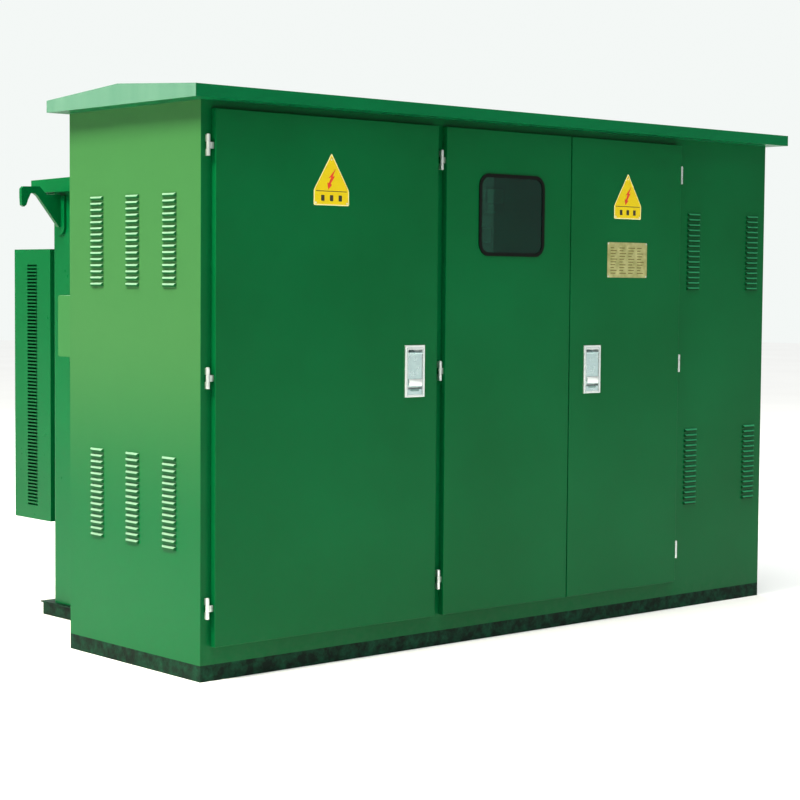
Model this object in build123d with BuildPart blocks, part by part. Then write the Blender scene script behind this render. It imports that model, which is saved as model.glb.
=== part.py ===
"""Pad-mounted transformer: cable cabinet in front, oil tank and radiators behind.

Millimetres. X runs along the cabinet's front, Y from the doors to the radiators, Z up.
The origin is at the middle of the footprint, on the pad.
"""

import os
from math import cos, radians, sin

from build123d import *

os.makedirs("parts", exist_ok=True)

# ---------------------------------------------------------------- driving dimensions
SHEET = 2.5  # cabinet sheet steel
PLATE = 8.0  # tank plate

CAB_LEFT = -1347.0
CAB_RIGHT = 1376.0
CAB_FRONT = -765.0
CAB_BACK = -25.0
CAB_MID_Y = (CAB_FRONT + CAB_BACK) / 2
PLINTH_H = 51.0
SOFFIT_Z = 1780.0

FASCIA_H = 39.0
RIDGE_Z = 1846.0
ROOF_LEFT = -1421.0
ROOF_RIGHT = 1421.0
ROOF_FRONT = -840.0
ROOF_BACK = -3.0

DOOR_T = 23.5  # how far a closed door stands in front of the frame
DOOR_Z0 = 108.0
DOOR_Z1 = 1755.0
DOOR_LAP = 27.0  # how far a door overlaps the frame round its opening
HV_DOOR_X = (-1309.0, -393.0)
LV_LEFT_X = (-354.0, 247.5)
LV_RIGHT_X = (252.5, 845.0)
DOOR_FACE = CAB_FRONT - DOOR_T

HINGE_Y = CAB_FRONT - 12.0
HINGE_X = {"hv": -1329.0, "lv_left": -367.0, "lv_right": 859.0}
HINGE_Z = (228.0, 936.0, 1643.0)
KNUCKLE_R = 6.25
KNUCKLE_LEN = 21.0
PIN_R = 3.0

LOCK_W = 87.0
LOCK_H = 173.0
LOCK_BEZEL = 5.0
PADDLE_W = 62.0
PIVOT_DROP = 27.0  # from the lock case's top edge to the paddle's pivot
PIVOT_Y = DOOR_FACE - 1.0
TAIL_LEN = 36.0
TAIL_TILT = 20.0  # half of the paddle's travel, in degrees
ROD_W = 16.0
ROD_Y = PIVOT_Y + TAIL_LEN * (1 + cos(radians(TAIL_TILT))) / 2
ROD_T = 6.0
BOLT_TIP_Z = 1745.0
HV_LOCK = (-494.5, 1026.0)  # middle X and top Z of the lock case
LV_LOCK = (366.5, 1013.0)
FLUSH_BOLT_X = 222.0

LOUVRE_PITCH = 19.9
LOUVRE_COUNT = 15
LOUVRE_H = 11.5
LOUVRE_PROUD = 7.5
HOOD_ROUND = 7.0  # how a hood curves into the sheet above it
LOUVRE_ROWS_Z = (1358.5, 539.5)

TANK_LEFT = -1047.0
TANK_RIGHT = 1076.0
TANK_MID_X = (TANK_LEFT + TANK_RIGHT) / 2
TANK_W = TANK_RIGHT - TANK_LEFT
TANK_FRONT = CAB_BACK
TANK_BACK = 578.0
TANK_MID_Y = (TANK_FRONT + TANK_BACK) / 2
TANK_D = TANK_BACK - TANK_FRONT
TANK_TOP = 1590.0
LID_UNDER = 1548.0
LID_TOP = 1598.0
LID_SIDE = 40.0
LID_REAR = 75.0
FLANGE = 30.0

GUARD_FRONT = 589.0
GUARD_BACK = 840.0
GUARD_Z0 = 345.0
GUARD_Z1 = 1345.0

PHASE_PITCH = 560.0
PARTITION_X = (-375.0, -372.0)


def save(part, name):
    """Label a finished sub-part and write its STEP file."""
    part.label = name
    export_step(part, f"parts/{name}.step")


def bar(x, y, z):
    """Add a plain bar to the current part, given its X, Y and Z extents as pairs."""
    middle = tuple((pair[0] + pair[1]) / 2 for pair in (x, y, z))
    with Locations(middle):
        Box(abs(x[1] - x[0]), abs(y[1] - y[0]), abs(z[1] - z[0]))


def cut(x, y, z):
    """Cut a plain box out of the current part, given its X, Y and Z extents as pairs."""
    middle = tuple((pair[0] + pair[1]) / 2 for pair in (x, y, z))
    with Locations(middle):
        Box(abs(x[1] - x[0]), abs(y[1] - y[0]), abs(z[1] - z[0]), mode=Mode.SUBTRACT)


# ---------------------------------------------------------------- base frame (plinth)
RAIL_W = 60.0
RAIL_WALL = 5.0
ANCHOR_R = 9.0
ANCHOR_INSET_X = 200.0


def channel_profile(width, height, wall):
    """Sketch a channel lying on its flanges, web on the left, its lower left corner at 0, 0."""
    Polygon(
        (0, 0),
        (width, 0),
        (width, wall),
        (wall, wall),
        (wall, height - wall),
        (width, height - wall),
        (width, height),
        (0, height),
        align=None,
    )


ANCHOR_SPACING = (CAB_RIGHT - CAB_LEFT - 2 * ANCHOR_INSET_X, CAB_BACK - CAB_FRONT - RAIL_W)

with BuildPart() as long_rails:
    # front and rear rails, their open side facing inwards, with four anchor holes
    with BuildSketch(Plane(origin=(CAB_LEFT, CAB_FRONT, 0), x_dir=(0, 1, 0), z_dir=(1, 0, 0))):
        channel_profile(RAIL_W, PLINTH_H, RAIL_WALL)
    extrude(amount=CAB_RIGHT - CAB_LEFT)
    mirror(about=Plane.XZ.offset(-CAB_MID_Y))
    with Locations(((CAB_LEFT + CAB_RIGHT) / 2, CAB_MID_Y, 0)):
        with GridLocations(*ANCHOR_SPACING, 2, 2):
            Cylinder(ANCHOR_R, 4 * PLINTH_H, mode=Mode.SUBTRACT)
    # plates that close the rails' ends
    for x in (CAB_LEFT, CAB_RIGHT - RAIL_WALL):
        for y in (CAB_FRONT + 1, CAB_BACK - RAIL_W):
            bar((x, x + RAIL_WALL), (y, y + RAIL_W - 1), (1, PLINTH_H - 1))

with BuildPart() as cross_rails:
    # side rails and one rail under the partition, butted between the long rails
    for left in (CAB_LEFT, PARTITION_X[0] - RAIL_W / 2):
        with BuildSketch(Plane(origin=(left, CAB_BACK - RAIL_W, 0), x_dir=(1, 0, 0), z_dir=(0, -1, 0))):
            channel_profile(RAIL_W, PLINTH_H, RAIL_WALL)
        extrude(amount=CAB_BACK - CAB_FRONT - 2 * RAIL_W)
    right = Plane(origin=(CAB_RIGHT, CAB_FRONT + RAIL_W, 0), x_dir=(-1, 0, 0), z_dir=(0, 1, 0))
    with BuildSketch(right):
        channel_profile(RAIL_W, PLINTH_H, RAIL_WALL)
    extrude(amount=CAB_BACK - CAB_FRONT - 2 * RAIL_W)
save(Compound(children=[*long_rails.part.solids(), *cross_rails.part.solids()]), "base_frame")

# ---------------------------------------------------------------- door frame
OPEN_Z = (DOOR_Z0 + DOOR_LAP, DOOR_Z1 - DOOR_LAP)
HV_OPEN = (HV_DOOR_X[0] + DOOR_LAP, HV_DOOR_X[1] - DOOR_LAP)
LV_OPEN = (LV_LEFT_X[0] + DOOR_LAP, LV_RIGHT_X[1] - DOOR_LAP)
RETURN_D = 27.0
FRAME_Y = (CAB_FRONT, CAB_FRONT + SHEET)
RETURN_Y = (CAB_FRONT, CAB_FRONT + RETURN_D)
NOTCH_W = ROD_W + 14


def frame_post(x0, x1, returns):
    """Upright of folded sheet, with a return along each X in returns."""
    with BuildPart() as post:
        bar((x0, x1), FRAME_Y, (PLINTH_H, SOFFIT_Z))
        for x in returns:
            bar((x, x + SHEET), RETURN_Y, (PLINTH_H, SOFFIT_Z))
    return post.part


def frame_rail(opening, z, notches):
    """Header or sill piece between two uprights, with open-fronted keeper notches for the bolts."""
    top = z[1] == SOFFIT_Z
    with BuildPart() as rail:
        bar(opening, FRAME_Y, z)
        edge = (z[1] - SHEET, z[1]) if top else (z[0], z[0] + SHEET)
        bar(opening, RETURN_Y, edge)
        for x in notches:
            reach = (z[0] - 1, BOLT_TIP_Z + 3) if top else (DOOR_Z0 + 5, z[1] + 1)
            cut((x - NOTCH_W / 2, x + NOTCH_W / 2), (CAB_FRONT - 1, FRAME_Y[1] + 1), reach)
    return rail.part


HEADER_Z = (OPEN_Z[1], SOFFIT_Z)
SILL_Z = (PLINTH_H, OPEN_Z[0])
frame_solids = [
    frame_post(CAB_LEFT, HV_OPEN[0], [HV_OPEN[0] - SHEET]),
    frame_post(HV_OPEN[1], LV_OPEN[0], [HV_OPEN[1], LV_OPEN[0] - SHEET]),
    frame_rail(HV_OPEN, HEADER_Z, [HV_LOCK[0]]),
    frame_rail(HV_OPEN, SILL_Z, []),
    frame_rail(LV_OPEN, HEADER_Z, [LV_LOCK[0], FLUSH_BOLT_X]),
    frame_rail(LV_OPEN, SILL_Z, [FLUSH_BOLT_X]),
]
save(Compound(children=frame_solids), "door_frame")

# ---------------------------------------------------------------- louvred panels


def louvre_hood(width):
    """One pressed hood on the plane Y = 0, standing out towards -Y and open below."""
    with BuildPart() as outer:
        with Locations((0, -LOUVRE_PROUD / 2, 0)):
            Box(width, LOUVRE_PROUD, LOUVRE_H)
        rounded = outer.edges().filter_by(lambda e: e.center().Y < -LOUVRE_PROUD + 0.1)
        fillet(rounded.filter_by(lambda e: e.center().Z > -LOUVRE_H / 2 + 0.1), HOOD_ROUND)
    wall = 1.6
    with BuildPart() as inner:
        with Locations((0, -(LOUVRE_PROUD - wall) / 2, -wall)):
            Box(width - 2 * wall, LOUVRE_PROUD - wall, LOUVRE_H)
        rounded = inner.edges().filter_by(lambda e: e.center().Y < -LOUVRE_PROUD + wall + 0.1)
        fillet(rounded.filter_by(lambda e: e.center().Z > -LOUVRE_H / 2 - wall + 0.1), HOOD_ROUND - wall)
    return outer.part - inner.part


def add_louvres(columns, width, face):
    """Cut the slots and add the hoods of each column; face turns (across, up) into a Plane."""
    hood = louvre_hood(width)
    spots = []
    for across in columns:
        for middle in LOUVRE_ROWS_Z:
            for i in range(LOUVRE_COUNT):
                up = middle + (i - (LOUVRE_COUNT - 1) / 2) * LOUVRE_PITCH
                spots.append(face(across, up).location)
    with Locations(*spots):
        # the slot in the sheet behind each hood
        Box(width - 6, 4 * SHEET, LOUVRE_H - 4, mode=Mode.SUBTRACT)
        add(hood)


def side_panel(x_out, inward, face):
    """Louvred side sheet with folded edges; inward is +1 on the left side and -1 on the right."""
    front = FRAME_Y[1]
    with BuildPart() as panel:
        skin = (x_out, x_out + inward * SHEET)
        bar(skin, (front, CAB_BACK), (PLINTH_H, SOFFIT_Z))
        flange = (x_out, x_out + inward * 30)
        for z in ((PLINTH_H, PLINTH_H + SHEET), (SOFFIT_Z - SHEET, SOFFIT_Z)):
            bar(flange, (front + 26, CAB_BACK - SHEET), z)
        add_louvres((-601, -397, -192), 72, face)
    return panel.part


save(
    side_panel(
        CAB_LEFT,
        1,
        lambda y, z: Plane(origin=(CAB_LEFT, y, z), x_dir=(0, -1, 0), z_dir=(0, 0, 1)),
    ),
    "left_side_panel",
)
save(
    side_panel(
        CAB_RIGHT,
        -1,
        lambda y, z: Plane(origin=(CAB_RIGHT, y, z), x_dir=(0, 1, 0), z_dir=(0, 0, 1)),
    ),
    "right_side_panel",
)

with BuildPart() as front_louvre_panel:
    bar((LV_OPEN[1], CAB_RIGHT), FRAME_Y, (PLINTH_H, SOFFIT_Z))
    bar((LV_OPEN[1], LV_OPEN[1] + SHEET), RETURN_Y, (PLINTH_H, SOFFIT_Z))
    add_louvres(
        (948, 1298.5),
        71,
        lambda x, z: Plane(origin=(x, CAB_FRONT, z), x_dir=(1, 0, 0), z_dir=(0, 0, 1)),
    )
save(front_louvre_panel.part, "front_louvre_panel")

# ---------------------------------------------------------------- rear panels and partition
REAR_Y = (CAB_BACK - SHEET, CAB_BACK)
REAR_LAP = 35.0  # how far the rear side sheets lap the tank's front wall


def rear_side(x_wall, x_tank, x_lid):
    """Rear sheet beside the tank, notched round the lid's rim."""
    with BuildPart() as panel:
        with BuildSketch(Plane.XZ.offset(-CAB_BACK)):
            with BuildLine():
                Polyline(
                    (x_wall, PLINTH_H),
                    (x_tank, PLINTH_H),
                    (x_tank, LID_UNDER - 4),
                    (x_lid, LID_UNDER - 4),
                    (x_lid, LID_TOP + 4),
                    (x_wall, LID_TOP + 4),
                    close=True,
                )
            make_face()
        extrude(amount=SHEET)
    return panel.part


with BuildPart() as rear_top:
    bar((CAB_LEFT + SHEET, CAB_RIGHT - SHEET), REAR_Y, (LID_TOP + 4, SOFFIT_Z))
rear_solids = [
    rear_side(CAB_LEFT + SHEET, TANK_LEFT + REAR_LAP, TANK_LEFT - LID_SIDE - 4),
    rear_side(CAB_RIGHT - SHEET, TANK_RIGHT - REAR_LAP, TANK_RIGHT + LID_SIDE + 4),
    rear_top.part,
]
save(Compound(children=rear_solids), "rear_panels")

with BuildPart() as compartment_partition:
    with BuildSketch(Plane.YZ.offset(PARTITION_X[0])):
        with BuildLine():
            Polyline(
                (CAB_FRONT + 3, PLINTH_H),
                (CAB_BACK - SHEET, PLINTH_H),
                (CAB_BACK - SHEET, LID_UNDER - 4),
                (CAB_BACK - LID_SIDE - 8, LID_UNDER - 4),
                (CAB_BACK - LID_SIDE - 8, SOFFIT_Z - 1),
                (CAB_FRONT + 3, SOFFIT_Z - 1),
                close=True,
            )
        make_face()
    extrude(amount=PARTITION_X[1] - PARTITION_X[0])
save(compartment_partition.part, "compartment_partition")

# ---------------------------------------------------------------- roof
ROOF_MID_Y = (ROOF_FRONT + ROOF_BACK) / 2
FASCIA_Z = SOFFIT_Z + FASCIA_H
SOFFIT_FLANGE = 90.0


def gable_outline(inset):
    """Sketch the roof's end shape, drawn in from the outside by inset."""
    Polygon(
        (ROOF_FRONT + inset, SOFFIT_Z + inset),
        (ROOF_FRONT + inset, FASCIA_Z - inset / 2),
        (ROOF_MID_Y, RIDGE_Z - inset),
        (ROOF_BACK - inset, FASCIA_Z - inset / 2),
        (ROOF_BACK - inset, SOFFIT_Z + inset),
        align=None,
    )


with BuildPart() as roof:
    with BuildSketch(Plane.YZ.offset(ROOF_LEFT)):
        gable_outline(0)
    extrude(amount=ROOF_RIGHT - ROOF_LEFT)
    with BuildSketch(Plane.YZ.offset(ROOF_LEFT + SHEET)):
        gable_outline(SHEET)
    extrude(amount=ROOF_RIGHT - ROOF_LEFT - 2 * SHEET, mode=Mode.SUBTRACT)
    cut(
        (ROOF_LEFT + SOFFIT_FLANGE, ROOF_RIGHT - SOFFIT_FLANGE),
        (ROOF_FRONT + SOFFIT_FLANGE + 15, ROOF_BACK - 40),
        (SOFFIT_Z - 1, SOFFIT_Z + SHEET + 1),
    )
save(roof.part, "roof")

# ---------------------------------------------------------------- tank
FLANGE_Z = (TANK_TOP - 12, TANK_TOP)
STUD_R = 6.0
STUD_LINE = 16.0  # from the tank wall's outer face to the row of studs
STUD_SPAN = (TANK_W + 2 * STUD_LINE, TANK_D + 2 * STUD_LINE)
HV_BUSHING_X = (-930.0, -760.0, -590.0)
HV_BUSHING_Z = 900.0
LV_BUSHING_X = (60.0, 200.0, 340.0, 520.0)
LV_BUSHING_Z = 1180.0
BUSHING_SHANK_R = 34.0
FUSE_X = (-960.0, -830.0, -700.0)
FUSE_Z = 1430.0
FUSE_SHANK_R = 24.0
LOAD_SWITCH = (-900.0, 1215.0)
TAP_CHANGER = (-640.0, 1215.0)
SHAFT_R = 8.0
BOSS_R = 30.0
BOSS_LEN = 28.0
DRAIN = (-500.0, 180.0)
DRAIN_R = 17.0
GAUGE_X = -480.0
GAUGE_Z = (1440.0, 1250.0)
RELIEF = (-480.0, 1060.0)
WALL_TOOL = 60.0


def stud_points():
    """The lid studs' X, Y places round the tank flange."""
    points = []
    across, deep = STUD_SPAN
    for i in range(12):
        x = TANK_MID_X + across * (i / 11 - 0.5)
        points.append((x, TANK_MID_Y - deep / 2))
        points.append((x, TANK_MID_Y + deep / 2))
    for i in range(1, 4):
        y = TANK_MID_Y + deep * (i / 4 - 0.5)
        points.append((TANK_MID_X - across / 2, y))
        points.append((TANK_MID_X + across / 2, y))
    return points


def wall_holes(x_list, z, radius):
    """Drill round holes along Y through the tank's front wall and its bosses."""
    with Locations(*[(x, TANK_FRONT, z) for x in x_list]):
        Cylinder(radius, 2 * WALL_TOOL, rotation=(90, 0, 0), mode=Mode.SUBTRACT)


with BuildPart() as tank_shell:
    with BuildSketch(Plane.XY.offset(PLINTH_H)):
        with Locations((TANK_MID_X, TANK_MID_Y)):
            RectangleRounded(TANK_W, TANK_D, 25)
    extrude(amount=FLANGE_Z[1] - PLINTH_H)
    with BuildSketch(Plane.XY.offset(FLANGE_Z[0])):
        with Locations((TANK_MID_X, TANK_MID_Y)):
            RectangleRounded(TANK_W + 2 * FLANGE, TANK_D + 2 * FLANGE, 10)
    extrude(amount=FLANGE_Z[1] - FLANGE_Z[0])
    # welded bosses for the two switch shafts
    with Locations(*[(x, TANK_FRONT - BOSS_LEN / 2, z) for x, z in (LOAD_SWITCH, TAP_CHANGER)]):
        Cylinder(BOSS_R, BOSS_LEN, rotation=(90, 0, 0))
    with BuildSketch(Plane.XY.offset(PLINTH_H + 10)):
        with Locations((TANK_MID_X, TANK_MID_Y)):
            RectangleRounded(TANK_W - 2 * PLATE, TANK_D - 2 * PLATE, 17)
    extrude(amount=TANK_TOP, mode=Mode.SUBTRACT)
    with Locations(*[(x, y, FLANGE_Z[0] + 5) for x, y in stud_points()]):
        Cylinder(STUD_R + 0.5, 30, mode=Mode.SUBTRACT)
    wall_holes(HV_BUSHING_X, HV_BUSHING_Z, BUSHING_SHANK_R + 0.5)
    wall_holes(LV_BUSHING_X, LV_BUSHING_Z, BUSHING_SHANK_R + 0.5)
    wall_holes(FUSE_X, FUSE_Z, FUSE_SHANK_R + 0.5)
    for x, z in (LOAD_SWITCH, TAP_CHANGER):
        wall_holes([x], z, SHAFT_R + 0.06)
    wall_holes([DRAIN[0]], DRAIN[1], DRAIN_R + 0.5)
save(tank_shell.part, "tank_shell")

with BuildPart() as tank_lid:
    # folded tray, its top falling slightly towards the back
    lid_x = (TANK_LEFT - LID_SIDE, TANK_RIGHT + LID_SIDE)
    lid_y = (TANK_FRONT - LID_SIDE, TANK_BACK + LID_REAR)
    with BuildSketch(Plane.YZ.offset(lid_x[0])):
        with BuildLine():
            Polyline(
                (lid_y[0], LID_UNDER),
                (lid_y[0], LID_TOP),
                (TANK_MID_Y, LID_TOP + 2),
                (lid_y[1], LID_TOP - 4),
                (lid_y[1], LID_UNDER),
                close=True,
            )
        make_face()
    extrude(amount=lid_x[1] - lid_x[0])
    cut((lid_x[0] + 3, lid_x[1] - 3), (lid_y[0] + 3, lid_y[1] - 3), (LID_UNDER - 1, TANK_TOP))
save(tank_lid.part, "tank_lid")

with BuildPart() as lid_bolts:
    # welded studs with nuts under the flange
    with Locations(*[(x, y, TANK_TOP - 15) for x, y in stud_points()]):
        Cylinder(STUD_R, 30)
    with BuildSketch(Plane.XY.offset(FLANGE_Z[0] - 10)):
        with Locations(*stud_points()):
            RegularPolygon(10.5, 6)
    extrude(amount=10)
save(Compound(children=lid_bolts.part.solids()), "lid_bolts")

# ---------------------------------------------------------------- lifting hooks
HOOK_T = 16.0
HOOK_Y = (95.0, 499.5)


def lifting_hook(y, x_wall, outward):
    """Flame-cut hook plate on its welded pad; outward is -1 on the left wall, +1 on the right."""

    def at(reach, height):
        return (x_wall + outward * reach, height)

    with BuildPart() as hook:
        with BuildSketch(Plane.XZ.offset(-y - HOOK_T)):
            with BuildLine():
                Polyline(
                    at(10, 1424),
                    at(17, 1423),
                    at(104, 1531),
                    at(118, 1541),
                    at(133, 1540),
                    at(144, 1518),
                    at(151, 1499),
                    at(160, 1492),
                    at(169, 1497),
                    at(171, 1526),
                    at(171, 1555),
                    at(163, 1564),
                    at(97, 1566),
                    at(70, 1540),
                    at(10, 1540),
                    close=True,
                )
            make_face()
        extrude(amount=HOOK_T)
        # the pad between the hook and the tank wall, rounded at its lower end
        pad_plane = Plane(origin=(x_wall, y + HOOK_T / 2, 0), x_dir=(0, outward, 0), z_dir=(outward, 0, 0))
        with BuildSketch(pad_plane):
            with Locations((0, 1480)):
                Rectangle(60, 110)
            with Locations((0, 1425)):
                Circle(30)
        extrude(amount=10)
    return hook.part


hooks = [lifting_hook(y, TANK_LEFT, -1) for y in HOOK_Y] + [lifting_hook(y, TANK_RIGHT, 1) for y in HOOK_Y]
save(Compound(children=hooks), "lifting_hooks")

# ---------------------------------------------------------------- skid under the tank
SKID_LEFT = TANK_LEFT - 10.0
SKID_RIGHT = TANK_RIGHT + 10.0
SKID_BACK = 627.0
SKID_TOP_LIP = 10.0
with BuildPart() as skid_sides:
    # side channels with a lip along the top, each drawn from the end where its section reads upright
    left = Plane(origin=(SKID_LEFT, SKID_BACK, 0), x_dir=(1, 0, 0), z_dir=(0, -1, 0))
    right = Plane(origin=(SKID_RIGHT, CAB_BACK, 0), x_dir=(-1, 0, 0), z_dir=(0, 1, 0))
    for plane in (left, right):
        with BuildSketch(plane):
            channel_profile(60, PLINTH_H, 6)
            with Locations((-SKID_TOP_LIP / 2, PLINTH_H - 2.5)):
                Rectangle(SKID_TOP_LIP, 5)
        extrude(amount=SKID_BACK - CAB_BACK)
with BuildPart() as skid_cross:
    for y in (60.0, 270.0, 480.0):
        bar((SKID_LEFT + 60, SKID_RIGHT - 60), (y, y + 50), (0, PLINTH_H))
save(Compound(children=[*skid_sides.part.solids(), *skid_cross.part.solids()]), "tank_skid")

# ---------------------------------------------------------------- radiators and their guards
FIN_COUNT = 10
FIN_PITCH = 45.0
FIN_Y = (612.0, 822.0)
FIN_Z = (380.0, 1310.0)
FIN_T = 12.0
HEADER_R = 32.0
HEADER_PLACE = (648.0, (440.0, 1250.0))
BANK_PITCH = 520.0
SLOT_COUNT = 71
SLOT_PITCH = 12.66
SLOT_SIZE = (70.0, 7.0)
GUARD_RETURN = 35.0
GUARD_WRAP = 190.0  # how far the guard wraps round behind the fins


def radiator(middle_x):
    """One bank of pressed fins welded to an upper and a lower header."""
    with BuildPart() as bank:
        with BuildSketch(Plane.XY.offset(FIN_Z[0])):
            with Locations((middle_x, sum(FIN_Y) / 2)):
                with GridLocations(FIN_PITCH, 1, FIN_COUNT, 1):
                    SlotOverall(FIN_Y[1] - FIN_Y[0], FIN_T, rotation=90)
        extrude(amount=FIN_Z[1] - FIN_Z[0])
        for z in HEADER_PLACE[1]:
            with Locations((middle_x, HEADER_PLACE[0], z)):
                Cylinder(HEADER_R, FIN_COUNT * FIN_PITCH, rotation=(0, 90, 0))
            with Locations((middle_x, (TANK_BACK + HEADER_PLACE[0]) / 2, z)):
                Cylinder(HEADER_R - 6, HEADER_PLACE[0] - TANK_BACK, rotation=(90, 0, 0))
    return bank.part


banks = [radiator(TANK_MID_X + (i - 1.5) * BANK_PITCH) for i in range(4)]
save(Compound(children=banks), "radiators")


SLOT_MIDDLE = (715.0, 842.0)  # Y and Z of the slot column's middle
GUARD_RAILS_Z = (600.0, 1100.0)
GUARD_RAIL_Y = (826.0, 834.0)
GUARD_RAIL_H = 40.0


def guard(x_out, inward):
    """Folded end guard with one column of slots."""
    with BuildPart() as cover:
        bar((x_out, x_out + inward * GUARD_RETURN), (GUARD_FRONT, GUARD_BACK), (GUARD_Z0, GUARD_Z1))
        cut(
            (x_out + inward * SHEET, x_out + inward * 2 * GUARD_RETURN),
            (GUARD_FRONT + SHEET, GUARD_BACK - SHEET),
            (GUARD_Z0 + SHEET, GUARD_Z1 - SHEET),
        )
        bar(
            (x_out, x_out + inward * GUARD_WRAP),
            (GUARD_BACK - SHEET, GUARD_BACK),
            (GUARD_Z0, GUARD_Z1),
        )
        with BuildSketch(Plane.YZ.offset(x_out)):
            with Locations(SLOT_MIDDLE):
                with GridLocations(1, SLOT_PITCH, 1, SLOT_COUNT):
                    Rectangle(*SLOT_SIZE)
        extrude(amount=2 * SHEET, both=True, mode=Mode.SUBTRACT)
    return cover.part


with BuildPart() as guard_rails:
    for z in GUARD_RAILS_Z:
        bar((TANK_LEFT + SHEET, TANK_RIGHT - SHEET), GUARD_RAIL_Y, (z, z + GUARD_RAIL_H))
guards = [guard(TANK_LEFT, 1), guard(TANK_RIGHT, -1), *guard_rails.part.solids()]
save(Compound(children=guards), "radiator_guards")

# ---------------------------------------------------------------- terminal box
BOX_Y = (220.0, 438.0)
BOX_Z = (960.0, 1178.0)
BOX_D = 60.0
with BuildPart() as terminal_box:
    bar((TANK_LEFT - BOX_D, TANK_LEFT), BOX_Y, BOX_Z)
    fillet(terminal_box.edges().filter_by(Axis.X), 8)
    with BuildSketch(Plane.YZ.offset(TANK_LEFT)):
        with Locations((sum(BOX_Y) / 2, sum(BOX_Z) / 2)):
            RectangleRounded(BOX_Y[1] - BOX_Y[0] - 6, BOX_Z[1] - BOX_Z[0] - 6, 6)
    extrude(amount=-BOX_D + 3, mode=Mode.SUBTRACT)
    # cable glands under the box
    with Locations(*[(TANK_LEFT - BOX_D / 2, y, BOX_Z[0] - 9) for y in (270.0, 329.0, 388.0)]):
        Cylinder(11, 18)
save(terminal_box.part, "terminal_box")

# ---------------------------------------------------------------- core and windings
CORE_D = 180.0
LIMB_W = 180.0
YOKE_Z = ((160.0, 360.0), (1100.0, 1300.0))
COIL_Z = (380.0, 1080.0)
PHASES = [TANK_MID_X + i * PHASE_PITCH for i in (-1, 0, 1)]
CORE_X = (PHASES[0] - LIMB_W / 2, PHASES[2] + LIMB_W / 2)

with BuildPart() as core:
    for z in YOKE_Z:
        bar(CORE_X, (TANK_MID_Y - CORE_D / 2, TANK_MID_Y + CORE_D / 2), z)
    for x in PHASES:
        # stepped limb
        for width, depth in ((LIMB_W, CORE_D - 50), (LIMB_W - 50, CORE_D)):
            bar(
                (x - width / 2, x + width / 2),
                (TANK_MID_Y - depth / 2, TANK_MID_Y + depth / 2),
                (YOKE_Z[0][1], YOKE_Z[1][0]),
            )
save(core.part, "core")

clamps = []
for side in (-1, 1):
    inner = TANK_MID_Y + side * CORE_D / 2
    for z0, z1 in YOKE_Z:
        with BuildPart() as clamp:
            bar((CORE_X[0] - 20, CORE_X[1] + 20), (inner, inner + side * 12), (z0 + 20, z1 - 20))
            for z in (z0 + 20, z1 - 32):
                bar((CORE_X[0] - 20, CORE_X[1] + 20), (inner, inner + side * 70), (z, z + 12))
            if z0 == YOKE_Z[0][0]:
                for x in (CORE_X[0] + 60, CORE_X[1] - 60):
                    bar((x - 50, x + 50), (inner, inner + side * 70), (PLINTH_H + 10, z0 + 20))
        clamps.append(clamp.part)
save(Compound(children=clamps), "core_clamps")


def coils(inner_r, outer_r):
    """Three concentric windings, one round each limb."""
    with BuildPart() as windings:
        with BuildSketch(Plane.XY.offset(COIL_Z[0])):
            with Locations(*[(x, TANK_MID_Y) for x in PHASES]):
                Circle(outer_r)
                Circle(inner_r, mode=Mode.SUBTRACT)
        extrude(amount=COIL_Z[1] - COIL_Z[0])
    return Compound(children=windings.part.solids())


save(coils(135, 170), "lv_coils")
save(coils(185, 255), "hv_coils")

# ---------------------------------------------------------------- bushings and busbars
ALONG_FRONT = (90, 0, 0)  # turns a cylinder's axis from Z towards -Y


def stack(x, z, steps):
    """Add turned steps on an axis along Y; each step is (near Y, far Y, radius)."""
    for near, far, radius in steps:
        with Locations((x, (near + far) / 2, z)):
            Cylinder(radius, abs(far - near), rotation=ALONG_FRONT)


hv_bushings = []
for x in HV_BUSHING_X:
    with BuildPart() as bushing:
        stack(x, HV_BUSHING_Z, ((TANK_FRONT, -37, 55), (8, TANK_FRONT, BUSHING_SHANK_R), (18, 8, 9)))
        with Locations((x, -97, HV_BUSHING_Z)):
            Cone(42, 30, 120, rotation=ALONG_FRONT)
        with Locations((x, -157, HV_BUSHING_Z)):
            Cone(24, 18, 160, rotation=ALONG_FRONT, mode=Mode.SUBTRACT)
        stack(x, HV_BUSHING_Z, ((-77, -140, 8),))
    hv_bushings.append(bushing.part)
save(Compound(children=hv_bushings), "hv_bushings")

STUD_END = -150.0
lv_bushings = []
for x in LV_BUSHING_X:
    with BuildPart() as bushing:
        steps = [(TANK_FRONT, -37, 48), (30, -25, BUSHING_SHANK_R), (80, 30, 15)]
        steps += [(-37, -112, 30), (-50, -60, 42), (-72, -82, 42), (-94, -104, 42), (-112, STUD_END, 16)]
        stack(x, LV_BUSHING_Z, steps)
    lv_bushings.append(bushing.part)
save(Compound(children=lv_bushings), "lv_bushings")

BREAKER_X = (0.0, 400.0)
BREAKER_Z = (480.0, 880.0)
BREAKER_FACE = -345.0
busbars = []
for x in LV_BUSHING_X:
    foot = BREAKER_Z[1] if x < BREAKER_X[1] else 640.0
    with BuildPart() as busbar:
        bar((x - 30, x + 30), (STUD_END - 8, STUD_END), (foot, LV_BUSHING_Z + 40))
        with Locations(*[(x, STUD_END - 4, z) for z in (LV_BUSHING_Z - 120, LV_BUSHING_Z - 165)]):
            Cylinder(7, 20, rotation=ALONG_FRONT, mode=Mode.SUBTRACT)
    busbars.append(busbar.part)
save(Compound(children=busbars), "lv_busbars")

# ---------------------------------------------------------------- low-voltage breaker
TOGGLE_PIVOT = (-325.0, 680.0)
TOGGLE_TILT = 25.0
TOGGLE_X = (193.0, 207.0)

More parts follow.
